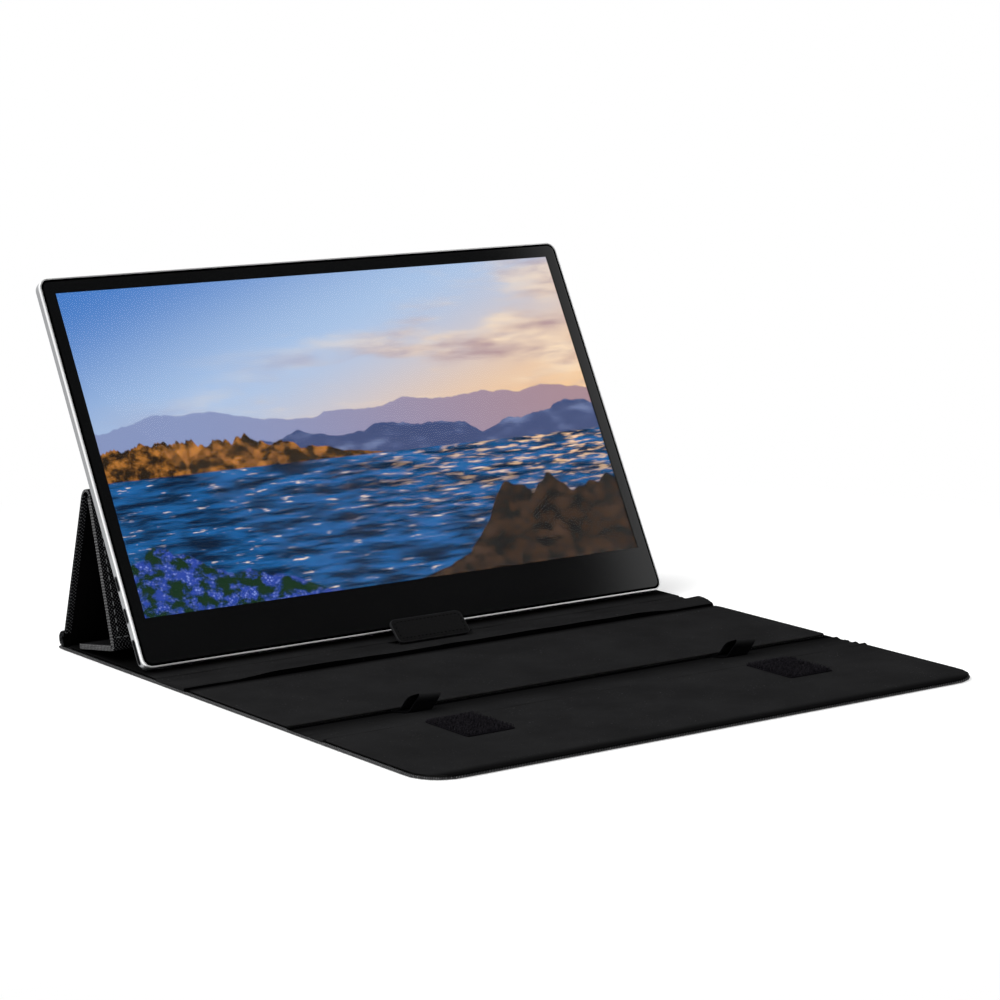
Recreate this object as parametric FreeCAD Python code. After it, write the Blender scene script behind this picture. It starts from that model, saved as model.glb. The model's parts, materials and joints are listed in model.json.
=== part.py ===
import FreeCAD, Part
import collections
import math
import os

# Portable monitor that leans on the folding stand of its own cover.
# Millimetres. X runs along the screen, Y from the front panel to the stand, Z up.
# The origin is under the middle of the whole object, on the table.

# Screen
active_width = 344.2
active_height = 193.6
side_bezel = 8.8
top_bezel = 9.0
chin_height = 28.0

# Monitor housing
monitor_depth = 7.5
monitor_corner_radius = 6.0
rear_edge_radius = 2.5
shell_wall = 1.4
shell_back = 1.2
rim_face = 0.9
rim_depth = 2.2
rim_ledge = 2.1
lean_angle = 28.7
monitor_offset = -2.5

# Display stack, from the front
glass_gap = 0.15
glass_thickness = 1.0
tape_thickness = 0.2
cell_thickness = 1.0
film_thickness = 0.4
guide_thickness = 1.0
reflector_thickness = 0.2
panel_border = 1.2
panel_lower_border = 3.6
tray_wall = 0.8
tray_back = 0.3
tape_overlap = 0.9
led_bar_height = 1.3

# Boards and speakers behind the display
board_sheet = 0.8
main_board_width = 88.0
main_board_height = 58.0
chip_size = 14.0
chip_height = 1.0
chip_pitch = 20.0
chip_count = 3
driver_board_width = 200.0
driver_board_height = 8.0
driver_board_sheet = 0.6
flex_width = 12.0
flex_sheet = 0.2
flex_overlap = 10.0
flex_span = 20.0
spreader_width = 130.0
spreader_height = 90.0
spreader_sheet = 0.4
spreader_gap = 8.0
spreader_corner_radius = 5.0
speaker_width = 50.0
speaker_height = 16.0
speaker_depth = 3.7
speaker_centre = 55.0
speaker_corner_radius = 2.0
grille_slots = 9
grille_slot_width = 1.0
grille_slot_height = 8.0
grille_pitch = 4.0
screw_radius = 0.8
screw_head_radius = 1.5
screw_head_height = 0.7
screw_bite = 0.7
screw_inset = 4.0
port_screw_inset = 12.0

# Sockets in the left wall, measured up from the lower edge
port_depth_centre = 4.4
port_wall = 0.25
port_recess = 0.3
port_length = 6.1
usb_mouth_length = 8.4
usb_mouth_height = 2.6
usb_lower_centre = 31.9
usb_upper_centre = 50.5
usb_tongue_length = 6.7
video_mouth_length = 14.2
video_mouth_height = 3.0
video_centre = 10.8
video_length = 9.0
video_tongue_length = 11.0
tongue_thickness = 0.7
tongue_setback = 1.2
port_floor = 0.5

# Controls in the right wall
button_centre = 40.0
button_length = 9.0
control_height = 2.6
control_proud = 0.4
button_travel = 0.4
button_flange = 0.6
button_flange_lip = 0.2
rocker_centre = 62.0
rocker_length = 14.0
rocker_pin_radius = 0.5
rocker_pin_clearance = 0.05
rocker_pin_inset = 2.25
rocker_body_inset = 2.1
carrier_sheet = 0.3
carrier_lug = 0.55
carrier_lug_width = 3.3
control_room = 2.0
control_board_length = 46.0
control_board_height = 3.9

# Cover sheets
cover_width = 369.0
skin_thickness = 0.9
board_thickness = 1.4
lining_thickness = 0.7
fold_thickness = 1.6
lining_inset = 1.8
board_inset = 4.0
panel_corner_radius = 4.0
front_corner_radius = 20.0

# Cover layout along the table, measured from the monitor's tilt axis
base_front_reach = 17.6
first_fold_width = 32.0
middle_length = 98.0
second_fold_width = 34.0
front_length = 93.0
spine_setback = 85.8
rear_margin = 5.7
fold_hump = 1.4

# Stand behind the monitor
spine_roll_radius = 4.8
spine_bulge = 5.2
apex_height = 91.0
apex_radius = 5.0
front_leg_lean = 16.1
foot_radius = 3.0
foot_swing_room = 2.2
flap_tip_room = 10.5
leg_inset = 1.0

# Magnets in the flap and the steel strips under them
magnet_width = 24.0
magnet_length = 10.0
magnet_thickness = 1.0
magnet_tip_margin = 6.0
magnet_spread = 120.0
keeper_width = 40.0
keeper_length = 18.0
keeper_thickness = 0.8

# Tab that stops the monitor's lower edge
tab_width = 50.0
tab_length = 15.0
tab_thickness = 2.4
tab_rise = 43.0
tab_setback = 21.6
tab_corner_radius = 4.0
tab_core_margin = 3.0
tab_core_thickness = 1.0

# Ribbon loops and hook-and-loop patches
trim_spread = 107.5
loop_width = 20.0
loop_length = 13.0
loop_height = 8.0
ribbon_thickness = 0.7
loop_setback = 3.0
patch_width = 30.0
patch_length = 38.0
patch_thickness = 1.2
patch_corner_radius = 1.5
patch_setback = 1.0

# Clearances
seat_clearance = 0.1
swing_clearance = 0.3
sheet_clearance = 0.1
running_clearance = 0.3
board_pocket_clearance = 0.05

# Share of half a height that a rounded end takes
round_end_share = 0.98

# Sizes that follow from those above
monitor_width = active_width + 2 * side_bezel
monitor_height = active_height + chin_height + top_bezel
half_monitor = monitor_width / 2
panel_top = skin_thickness + board_thickness + lining_thickness
lean = math.radians(lean_angle)
pivot_depth = monitor_depth - rear_edge_radius
pivot_height = panel_top + seat_clearance + rear_edge_radius

tape_front = glass_thickness
stack_front = tape_front + tape_thickness
film_front = stack_front + cell_thickness
guide_front = film_front + film_thickness
reflector_front = guide_front + guide_thickness
tray_front = reflector_front + reflector_thickness
tray_rear = tray_front + tray_back
shell_floor = monitor_depth - shell_back

base_front = -base_front_reach
first_axis = base_front - first_fold_width / 2
middle_rear = base_front - first_fold_width
middle_front = middle_rear - middle_length
second_axis = middle_front - second_fold_width / 2
front_rear = middle_front - second_fold_width
front_edge = front_rear - front_length
base_rear = spine_setback + rear_margin
monitor_reach = (monitor_height - 2 * rear_edge_radius) * math.sin(lean) + rear_edge_radius
middle_of_box = (front_edge + max(base_rear, monitor_reach)) / 2

# Stand lines in the Y Z plane, as pairs
leg_width = cover_width - 2 * leg_inset
spine_height = skin_thickness + swing_clearance + spine_roll_radius
leg_offset = spine_roll_radius - spine_bulge
back_gap = apex_radius + swing_clearance
apex_y = (rear_edge_radius + back_gap + (apex_height - pivot_height) * math.sin(lean)) / math.cos(lean)
spine_to_apex = math.hypot(apex_y - spine_setback, apex_height - spine_height)
rear_lean = math.atan2(spine_setback - apex_y, apex_height - spine_height)
rear_lean = rear_lean - math.asin((apex_radius - leg_offset) / spine_to_apex)
rear_leg_run = math.sqrt(spine_to_apex ** 2 - (apex_radius - leg_offset) ** 2)
rear_out = (math.cos(rear_lean), math.sin(rear_lean))

front_lean = math.radians(front_leg_lean)
foot_swing = apex_height - panel_top - foot_radius - foot_swing_room
front_leg_run = math.sqrt(foot_swing ** 2 - (apex_radius - foot_radius) ** 2)
front_out = (-math.cos(front_lean), math.sin(front_lean))
front_down = (-math.sin(front_lean), -math.cos(front_lean))
foot_y = apex_y + front_down[0] * front_leg_run + front_out[0] * (apex_radius - foot_radius)
foot_height = apex_height + front_down[1] * front_leg_run + front_out[1] * (apex_radius - foot_radius)

rear_leg_inner = apex_radius - panel_top
rear_leg_at_foot = apex_y + (rear_leg_inner - (foot_height - apex_height) * rear_out[1]) / rear_out[0]
flap_length = rear_leg_at_foot - foot_y - flap_tip_room
flap_drop = foot_height - panel_top - swing_clearance
flap_slope = math.asin(flap_drop / math.hypot(flap_length, foot_radius))
flap_slope = flap_slope - math.atan2(foot_radius, flap_length)

tab_axis_height = fold_thickness + tab_thickness / 2 + sheet_clearance


# Drawing helpers
def vector(x, y, z):
    return FreeCAD.Vector(x, y, z)


def rounded_wire(x0, y0, x1, y1, front, rear):
    corners = ((x0, y0, 180, front), (x1, y0, 270, front), (x1, y1, 0, rear), (x0, y1, 90, rear))
    edges = []
    ends = []
    for x, y, turn, radius in corners:
        middle = math.radians(turn + 45)
        inner_x = x - math.copysign(radius, math.cos(middle))
        inner_y = y - math.copysign(radius, math.sin(middle))
        inner = vector(inner_x, inner_y, 0)
        points = []
        for angle in (turn, turn + 45, turn + 90):
            bearing = math.radians(angle)
            points.append(inner + vector(radius * math.cos(bearing), radius * math.sin(bearing), 0))
        if radius > 0:
            edges.append(Part.Arc(points[0], points[1], points[2]).toShape())
        ends.append((points[0], points[2]))
    for index in range(4):
        leave = ends[index][1]
        arrive = ends[(index + 1) % 4][0]
        if leave.distanceToPoint(arrive) > 1e-6:
            edges.append(Part.makeLine(leave, arrive))
    return Part.Wire(Part.__sortEdges__(edges))


def plate(x0, y0, x1, y1, z0, z1, front=0.0, rear=0.0):
    solid = Part.Face(rounded_wire(x0, y0, x1, y1, front, rear)).extrude(vector(0, 0, z1 - z0))
    solid.translate(vector(0, 0, z0))
    return solid


def upright(x0, x1, up0, up1, depth0, depth1, radius=0.0):
    solid = plate(x0, up0, x1, up1, -depth1, -depth0, radius, radius)
    solid.rotate(vector(0, 0, 0), vector(1, 0, 0), 90)
    return solid


def sideways(x0, x1, depth0, depth1, up0, up1, radius=0.0):
    solid = plate(depth0, up0, depth1, up1, x0, x1, radius, radius)
    solid.rotate(vector(0, 0, 0), vector(1, 1, 1), 120)
    return solid


def cylinder(radius, length, base, direction):
    return Part.makeCylinder(radius, length, base, direction)


def along_x(edges, width):
    """Solid of a closed Y Z outline, given as edges, run across the width."""
    face = Part.Face(Part.Wire(Part.__sortEdges__(edges)))
    face.translate(vector(-width / 2, 0, 0))
    return face.extrude(vector(width, 0, 0))


def sector(centre, outer, inner, start, stop, width):
    """Bent fabric: part of a ring about an X axis, between two bearings in degrees."""
    def spot(radius, bearing):
        turn = math.radians(bearing)
        return vector(0, centre[0] + radius * math.cos(turn), centre[1] + radius * math.sin(turn))

    middle = (start + stop) / 2
    rim = Part.Arc(spot(outer, start), spot(outer, middle), spot(outer, stop)).toShape()
    bore = Part.Arc(spot(inner, stop), spot(inner, middle), spot(inner, start)).toShape()
    last = Part.makeLine(spot(outer, stop), spot(inner, stop))
    first = Part.makeLine(spot(inner, start), spot(outer, start))
    return along_x([rim, last, bore, first], width)


def lean_back(solid):
    """Move a monitor piece from upright, lower edge at zero, to where it leans."""
    solid.translate(vector(monitor_offset, -pivot_depth, -rear_edge_radius))
    solid.rotate(vector(0, 0, 0), vector(1, 0, 0), -lean_angle)
    solid.translate(vector(0, 0, pivot_height))
    return solid


def fold_to(solid, spot, turn):
    """Turn a piece drawn flat about X and set its zero line at a Y Z spot."""
    solid.rotate(vector(0, 0, 0), vector(1, 0, 0), turn)
    solid.translate(vector(0, spot[0], spot[1]))
    return solid


def export(name, solid):
    solid.translate(vector(0, -middle_of_box, 0))
    solid.exportStep("parts/" + name + ".step")


def export_monitor(name, solid):
    export(name, lean_back(solid))


# Cover panels: woven skin outside, stiff board, suede lining inside
def panel_sheets(width, y0, y1, front_radius, rear_radius, lined_to):
    half = width / 2
    lining_front = max(front_radius - lining_inset, 0)
    lining_rear = max(rear_radius - lining_inset, 0)
    board_front = max(front_radius - board_inset, 0)
    board_rear = max(rear_radius - board_inset, 0)
    board_low = skin_thickness
    board_high = skin_thickness + board_thickness
    lining_half = half - lining_inset
    board_half = half - board_inset
    step = board_inset - lining_inset
    skin = plate(-half, y0, half, y1, 0, board_low, front_radius, rear_radius)
    board_end = lined_to - step
    lined = (board_low, board_high, board_front, board_rear)
    board = plate(-board_half, y0 + step, board_half, board_end, *lined)
    lining = plate(-lining_half, y0, lining_half, lined_to, board_high, panel_top, lining_front, lining_rear)
    return {"skin": skin, "board": board, "lining": lining}


def fold_leaf(y0, y1):
    return plate(-cover_width / 2, y0, cover_width / 2, y1, 0, fold_thickness)


def humped_leaf(y0, y1):
    crest = vector(0, (y0 + y1) / 2, panel_top + fold_hump)
    outline = ((y1, fold_thickness), (y1, 0), (y0, 0), (y0, panel_top))
    corners = [vector(0, y, z) for y, z in outline]
    lines = [Part.makeLine(start, end) for start, end in zip(corners, corners[1:])]
    lines.append(Part.Arc(corners[3], crest, corners[0]).toShape())
    return along_x(lines, cover_width)


def keeper_row(low, high, centre, width, length, grow=0.0):
    half_width = width / 2 + grow
    half_length = length / 2 + grow
    strips = []
    for side in (-1, 0, 1):
        x = side * magnet_spread
        strip = plate(x - half_width, centre - half_length, x + half_width, centre + half_length, low, high)
        strips.append(strip)
    return Part.makeCompound(strips)


def make_base():
    lined_to = spine_setback - spine_roll_radius - swing_clearance
    sheets = panel_sheets(cover_width, base_front, base_rear, 0, panel_corner_radius, lined_to)
    flap_end = foot_y + flap_length * math.cos(flap_slope)
    centre = flap_end - magnet_tip_margin - magnet_length / 2
    top = skin_thickness + board_thickness
    low = top - keeper_thickness
    keepers = keeper_row(low, top, centre, keeper_width, keeper_length)
    room = keeper_row(low, top, centre, keeper_width, keeper_length, board_pocket_clearance)
    sheets["board"] = sheets["board"].cut(room)
    for sheet, solid in sheets.items():
        export("base_" + sheet, solid)
    export("base_keepers", keepers)
    export("base_fold_leaf", fold_leaf(first_axis, base_front))


def make_middle():
    sheets = panel_sheets(cover_width, middle_front, middle_rear, 0, 0, middle_rear)
    for sheet, solid in sheets.items():
        export("middle_" + sheet, solid)
    export("middle_rear_leaf", humped_leaf(middle_rear, first_axis - sheet_clearance))
    export("middle_front_leaf", fold_leaf(second_axis, middle_front))
    for side, name in ((-1, "left"), (1, "right")):
        export("ribbon_loop_" + name, ribbon_loop(side * trim_spread))


def ribbon_loop(x):
    rear = middle_front - loop_setback
    front = rear - loop_length
    low = fold_thickness
    half = loop_width / 2
    wall = ribbon_thickness
    high = low + loop_height
    outer_end = loop_height / 2 * round_end_share
    inner_end = (loop_height / 2 - wall) * round_end_share
    loop = sideways(x - half, x + half, front, rear, low, high, outer_end)
    hollow = sideways(x - half, x + half, front + wall, rear - wall, low + wall, high - wall, inner_end)
    return loop.cut(hollow)


def make_front():
    sheets = panel_sheets(cover_width, front_edge, front_rear, front_corner_radius, 0, front_rear)
    for sheet, solid in sheets.items():
        export("front_" + sheet, solid)
    export("front_fold_leaf", fold_leaf(front_rear, second_axis - sheet_clearance))
    rear = front_rear - patch_setback
    for side, name in ((-1, "left"), (1, "right")):
        x = side * trim_spread
        half = patch_width / 2
        top = panel_top + patch_thickness
        radius = patch_corner_radius
        patch = plate(x - half, rear - patch_length, x + half, rear, panel_top, top, radius, radius)
        export("hook_patch_" + name, patch)


# Stand: rear leg, front leg and flap, drawn flat and folded into a prism
def make_rear_leg():
    spot = (spine_setback + rear_out[0] * leg_offset, spine_height + rear_out[1] * leg_offset)
    low = spine_roll_radius + sheet_clearance
    sheets = panel_sheets(leg_width, low, rear_leg_run, 0, 0, rear_leg_run)
    for sheet, solid in sheets.items():
        export("rear_leg_" + sheet, fold_to(solid, spot, 90 + math.degrees(rear_lean)))
    left_end = vector(-leg_width / 2, spine_setback, spine_height)
    export("spine_roll", cylinder(spine_roll_radius, leg_width, left_end, vector(1, 0, 0)))
    start = math.degrees(rear_lean)
    stop = 180 - front_leg_lean
    bore = apex_radius - fold_thickness
    export("apex_fold", sector((apex_y, apex_height), apex_radius, bore, start, stop, leg_width))


def make_front_leg():
    spot = (apex_y + front_out[0] * apex_radius, apex_height + front_out[1] * apex_radius)
    sheets = panel_sheets(leg_width, swing_clearance, front_leg_run, 0, 0, front_leg_run)
    for sheet, solid in sheets.items():
        export("front_leg_" + sheet, fold_to(solid, spot, -90 - front_leg_lean))
    start = 180 - front_leg_lean
    stop = 270 - math.degrees(flap_slope)
    bore = foot_radius - fold_thickness
    export("foot_fold", sector((foot_y, foot_height), foot_radius, bore, start, stop, leg_width))


def make_flap():
    down = (-math.sin(flap_slope), -math.cos(flap_slope))
    spot = (foot_y + down[0] * foot_radius, foot_height + down[1] * foot_radius)
    turn = -math.degrees(flap_slope)
    sheets = panel_sheets(leg_width, swing_clearance, flap_length, 0, panel_corner_radius, flap_length)
    centre = flap_length - magnet_tip_margin - magnet_length / 2
    low = skin_thickness
    top = low + magnet_thickness
    magnets = keeper_row(low, top, centre, magnet_width, magnet_length)
    room = keeper_row(low, top, centre, magnet_width, magnet_length, board_pocket_clearance)
    sheets["board"] = sheets["board"].cut(room)
    for sheet, solid in sheets.items():
        export("flap_" + sheet, fold_to(solid, spot, turn))
    export("flap_magnets", fold_to(magnets, spot, turn))


def make_tab():
    half = tab_width / 2
    thick = tab_thickness / 2
    leather = plate(-half, 0, half, tab_length, -thick, thick, 0, tab_corner_radius)
    leather = leather.fuse(cylinder(thick, tab_width, vector(-half, 0, 0), vector(1, 0, 0))).removeSplitter()
    core_half = half - tab_core_margin
    core_top = tab_length - tab_core_margin
    core_thick = tab_core_thickness / 2
    core = plate(-core_half, tab_core_margin, core_half, core_top, -core_thick, core_thick)
    spot = (-tab_setback, tab_axis_height)
    for name, solid in (("tab_leather", leather.cut(core)), ("tab_core", core)):
        solid.translate(vector(monitor_offset, 0, 0))
        export(name, fold_to(solid, spot, tab_rise))


# Monitor housing
def port_shape(mouth_length, mouth_height, centre, grow, x0, x1):
    half_length = mouth_length / 2 + grow
    half_height = mouth_height / 2 + grow
    front = port_depth_centre - half_height
    rear = port_depth_centre + half_height
    radius = half_height * round_end_share
    return sideways(x0, x1, front, rear, centre - half_length, centre + half_length, radius)


def control_shape(length, centre, grow, x0, x1):
    return port_shape(length, control_height, centre, grow, x0, x1)


Port = collections.namedtuple("Port", "name centre mouth_length mouth_height reach tongue")
usb_sizes = (usb_mouth_length, usb_mouth_height, port_length, usb_tongue_length)
video_sizes = (video_mouth_length, video_mouth_height, video_length, video_tongue_length)
ports = (
    Port("usb_c_port_lower", usb_lower_centre, *usb_sizes),
    Port("usb_c_port_upper", usb_upper_centre, *usb_sizes),
    Port("video_port", video_centre, *video_sizes),
)
main_board_left = -half_monitor + port_recess + port_length + sheet_clearance
main_board_right = main_board_left + main_board_width
main_board_low = shell_wall + sheet_clearance
main_board_front = shell_floor - board_sheet
screw_columns = (main_board_left + port_screw_inset, main_board_right - screw_inset)
screw_rows = (main_board_low + screw_inset, main_board_low + main_board_height - screw_inset)
screw_spots = [(x, z) for x in screw_columns for z in screw_rows]


def make_rear_shell():
    corner = monitor_corner_radius
    body = upright(-half_monitor, half_monitor, 0, monitor_height, rim_depth, monitor_depth, corner)
    rear_edges = [edge for edge in body.Edges if edge.BoundBox.YMin > monitor_depth - 1e-3]
    body = body.makeFillet(rear_edge_radius, rear_edges)
    inner_half = half_monitor - shell_wall
    top = monitor_height - shell_wall
    body = body.cut(upright(-inner_half, inner_half, shell_wall, top, 0, shell_floor, corner - shell_wall))
    grow = port_wall + sheet_clearance / 2
    near = inner_half - shell_wall
    far = half_monitor + shell_wall
    for port in ports:
        body = body.cut(port_shape(port.mouth_length, port.mouth_height, port.centre, grow, -far, -near))
    for length, centre in ((button_length, button_centre), (rocker_length, rocker_centre)):
        body = body.cut(control_shape(length, centre, running_clearance, near, far))
    body = body.cut(Part.makeCompound(screw_shanks(screw_radius + sheet_clearance / 2)))
    for side in (-1, 1):
        for index in range(grille_slots):
            x = side * speaker_centre + (index - (grille_slots - 1) / 2) * grille_pitch
            low = shell_wall + speaker_height / 2 - grille_slot_height / 2
            high = low + grille_slot_height
            half = grille_slot_width / 2
            body = body.cut(upright(x - half, x + half, low, high, shell_floor, monitor_depth))
    export_monitor("rear_shell", body)


def screw_shanks(radius):
    length = board_sheet + screw_bite
    return [cylinder(radius, length, vector(x, main_board_front, z), vector(0, 1, 0)) for x, z in screw_spots]


def make_front_rim():
    body = upright(-half_monitor, half_monitor, 0, monitor_height, 0, rim_depth, monitor_corner_radius)
    for inset, depth in ((rim_face, stack_front), (rim_face + rim_ledge, rim_depth)):
        half = half_monitor - inset
        radius = monitor_corner_radius - inset
        body = body.cut(upright(-half, half, inset, monitor_height - inset, 0, depth, radius))
    export_monitor("front_rim", body)


def make_display():
    inset = rim_face + glass_gap
    half = half_monitor - inset
    top = monitor_height - inset
    radius = monitor_corner_radius - inset
    export_monitor("front_glass", upright(-half, half, inset, top, 0, glass_thickness, radius))
    tape = upright(-half, half, inset, top, tape_front, stack_front, radius)
    window = panel_border - tape_overlap
    half_window = active_width / 2 + window
    window_top = chin_height + active_height + window
    window_low = chin_height - window
    tape = tape.cut(upright(-half_window, half_window, window_low, window_top, tape_front, stack_front))
    export_monitor("glass_tape", tape)
    half_panel = active_width / 2 + panel_border
    low = chin_height - panel_lower_border
    high = chin_height + active_height + panel_border
    guide_low = low + led_bar_height
    layers = (
        ("lcd_cell", low, high, stack_front, film_front),
        ("optical_films", low, high, film_front, guide_front),
        ("led_bar", low, guide_low, guide_front, reflector_front),
        ("light_guide", guide_low, high, guide_front, reflector_front),
        ("reflector_sheet", low, high, reflector_front, tray_front),
    )
    for name, bottom, top, front, rear in layers:
        export_monitor(name, upright(-half_panel, half_panel, bottom, top, front, rear))
    half_tray = half_panel + tray_wall
    tray = upright(-half_tray, half_tray, low - tray_wall, high + tray_wall, stack_front, tray_rear)
    tray = tray.cut(upright(-half_panel, half_panel, low, high, stack_front, tray_front))
    export_monitor("panel_tray", tray)


def make_boards():
    top = main_board_low + main_board_height
    board = upright(main_board_left, main_board_right, main_board_low, top, main_board_front, shell_floor)
    grow = port_wall + sheet_clearance
    for port in ports:
        end = -half_monitor + port_recess + port.reach + sheet_clearance
        room = port_shape(port.mouth_length, port.mouth_height, port.centre, grow, -half_monitor, end)
        board = board.cut(room)
    board = board.cut(Part.makeCompound(screw_shanks(screw_radius + sheet_clearance / 2)))
    export_monitor("main_board", board)
    screws = []
    for shank, (x, z) in zip(screw_shanks(screw_radius), screw_spots):
        seat = vector(x, main_board_front - screw_head_height, z)
        head = cylinder(screw_head_radius, screw_head_height, seat, vector(0, 1, 0))
        screws.append(shank.fuse(head).removeSplitter())
    export_monitor("board_screws", Part.makeCompound(screws))
    chips = []
    for column in range(chip_count):
        x = main_board_left + main_board_width / 2 + (column - (chip_count - 1) / 2) * chip_pitch
        low = main_board_low + main_board_height / 2
        front = main_board_front - chip_height
        half = chip_size / 2
        chips.append(upright(x - half, x + half, low, low + chip_size, front, main_board_front))
    export_monitor("board_chips", Part.makeCompound(chips))
    driver_left = main_board_right + flex_span
    driver_right = driver_left + driver_board_width
    driver_low = chin_height
    driver_high = driver_low + driver_board_height
    driver_rear = tray_rear + driver_board_sheet
    driver = upright(driver_left, driver_right, driver_low, driver_high, tray_rear, driver_rear)
    export_monitor("panel_driver_board", driver)
    make_flex(driver_left, driver_rear, (driver_low + driver_high) / 2)
    half_spreader = spreader_width / 2
    low = driver_high + spreader_gap
    high = low + spreader_height
    rear = tray_rear + spreader_sheet
    spreader = upright(-half_spreader, half_spreader, low, high, tray_rear, rear, spreader_corner_radius)
    export_monitor("heat_spreader", spreader)


def make_flex(driver_left, driver_rear, centre):
    lower = main_board_front - flex_sheet
    front_line = [
        (main_board_right - flex_overlap, lower),
        (main_board_right, lower),
        (driver_left, driver_rear),
        (driver_left + flex_overlap, driver_rear),
    ]
    rear_line = [(x, depth + flex_sheet) for x, depth in reversed(front_line)]
    corners = [vector(x, depth, centre - flex_width / 2) for x, depth in front_line + rear_line]
    flex = Part.Face(Part.makePolygon(corners + corners[:1])).extrude(vector(0, 0, flex_width))
    export_monitor("display_flex_cable", flex)


def make_ports():
    mouth = -half_monitor + port_recess
    front = port_depth_centre - tongue_thickness / 2
    rear = port_depth_centre + tongue_thickness / 2
    for port in ports:
        inner = mouth + port.reach
        floor = inner - port_floor
        shell = port_shape(port.mouth_length, port.mouth_height, port.centre, port_wall, mouth, inner)
        shell = shell.cut(port_shape(port.mouth_length, port.mouth_height, port.centre, 0, mouth, floor))
        low = port.centre - port.tongue / 2
        blade = sideways(mouth + tongue_setback, floor, front, rear, low, low + port.tongue)
        export_monitor(port.name, shell.fuse(blade).removeSplitter())


def make_speakers():
    low = shell_wall + sheet_clearance
    high = low + speaker_height
    front = shell_floor - speaker_depth
    half = speaker_width / 2
    for side, name in ((-1, "left"), (1, "right")):
        x = side * speaker_centre
        box = upright(x - half, x + half, low, high, front, shell_floor, speaker_corner_radius)
        export_monitor("speaker_" + name, box)


# Button, rocker and what carries them, inside the right wall
def make_controls():
    wall = half_monitor - shell_wall
    outside = half_monitor + control_proud
    board_right = wall - control_room
    button = control_shape(button_length, button_centre, 0, wall - running_clearance, outside)
    flange_right = wall - sheet_clearance
    flange_left = flange_right - button_flange
    lip = button_flange_lip + running_clearance
    flange = control_shape(button_length, button_centre, lip, flange_left, flange_right)
    stem_end = vector(board_right + button_travel + sheet_clearance, port_depth_centre, button_centre)
    stem = cylinder(control_height / 2, flange_right - stem_end.x, stem_end, vector(1, 0, 0))
    export_monitor("power_button", button.fuse([flange, stem]).removeSplitter())

    pin_x = half_monitor - rocker_pin_inset
    low = shell_floor - control_board_height
    pin_front = low + sheet_clearance
    pin_length = control_board_height - 2 * sheet_clearance
    pin = cylinder(rocker_pin_radius, pin_length, vector(pin_x, pin_front, rocker_centre), vector(0, 1, 0))
    rocker = control_shape(rocker_length, rocker_centre, 0, half_monitor - rocker_body_inset, outside)
    export_monitor("menu_rocker", rocker.fuse(pin).removeSplitter())

    bore = rocker_pin_radius + rocker_pin_clearance
    lug_low = rocker_centre - carrier_lug_width / 2
    lug_high = rocker_centre + carrier_lug_width / 2
    lugs = sideways(board_right, wall, low, shell_floor, lug_low, lug_high)
    gap_front = low + carrier_lug
    gap_rear = shell_floor - carrier_lug
    lugs = lugs.cut(sideways(board_right + carrier_sheet, wall, gap_front, gap_rear, lug_low, lug_high))
    lugs = lugs.cut(cylinder(bore, control_board_height, vector(pin_x, low, rocker_centre), vector(0, 1, 0)))
    export_monitor("rocker_carrier", lugs)

    middle = (button_centre + rocker_centre) / 2
    half = control_board_length / 2
    board = sideways(board_right - board_sheet, board_right, low, shell_floor, middle - half, middle + half)
    export_monitor("control_board", board)


os.makedirs("parts", exist_ok=True)
make_base()
make_middle()
make_front()
make_rear_leg()
make_front_leg()
make_flap()
make_tab()
make_rear_shell()
make_front_rim()
make_display()
make_boards()
make_ports()
make_speakers()
make_controls()
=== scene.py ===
import json
import math
import random
from types import SimpleNamespace

import bmesh
import bpy
from bpy.props import FloatProperty, FloatVectorProperty, IntProperty, PointerProperty
from mathutils import Matrix, Vector, noise


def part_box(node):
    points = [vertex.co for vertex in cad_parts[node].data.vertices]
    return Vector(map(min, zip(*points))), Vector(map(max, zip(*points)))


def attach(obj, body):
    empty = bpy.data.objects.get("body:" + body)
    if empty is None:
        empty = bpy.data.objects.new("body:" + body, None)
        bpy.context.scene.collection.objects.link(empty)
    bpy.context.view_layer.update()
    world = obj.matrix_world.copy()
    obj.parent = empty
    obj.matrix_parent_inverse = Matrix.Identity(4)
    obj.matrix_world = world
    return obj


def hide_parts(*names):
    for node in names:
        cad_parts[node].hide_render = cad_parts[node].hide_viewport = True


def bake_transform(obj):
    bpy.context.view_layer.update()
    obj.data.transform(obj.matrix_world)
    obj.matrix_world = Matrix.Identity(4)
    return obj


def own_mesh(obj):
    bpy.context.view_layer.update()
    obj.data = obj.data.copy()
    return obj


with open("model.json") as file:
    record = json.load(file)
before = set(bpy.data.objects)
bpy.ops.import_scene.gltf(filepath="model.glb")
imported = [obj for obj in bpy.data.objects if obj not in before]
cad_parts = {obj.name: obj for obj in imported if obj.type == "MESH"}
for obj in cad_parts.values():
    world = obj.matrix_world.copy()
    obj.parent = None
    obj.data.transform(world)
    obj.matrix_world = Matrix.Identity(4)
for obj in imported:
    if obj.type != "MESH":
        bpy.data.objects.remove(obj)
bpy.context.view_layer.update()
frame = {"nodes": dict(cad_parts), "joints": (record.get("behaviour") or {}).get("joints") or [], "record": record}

bl_info = {
    "name": "Folding Cover Monitor",
    "version": (1, 0, 0),
    "blender": (4, 5, 0),
    "location": "3D View > Sidebar > Monitor",
    "description": "Dresses a portable monitor and the folding cover that it leans on",
    "category": "Object",
}

MM = 0.001
SAME_SPOT = 1e-6
WHITE = (1.0, 1.0, 1.0, 1.0)
BLACK = (0.0, 0.0, 0.0, 1.0)
# Room between the spine's roll and the rear leg
SPINE_GAP = 0.1 * MM
# Room between a bent fold and the panel after it
LEG_GAP = 0.3 * MM
# How far the rear leg's lining reaches under the spine
LINING_TUCK = 2.4 * MM
# Room between faces that would otherwise share a plane
PLAY = 0.03 * MM
# Grid lines near an edge, as shares of its rounding
EDGE_SHARES = (0.0, 0.08, 0.3, 0.62, 1.0)
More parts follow.
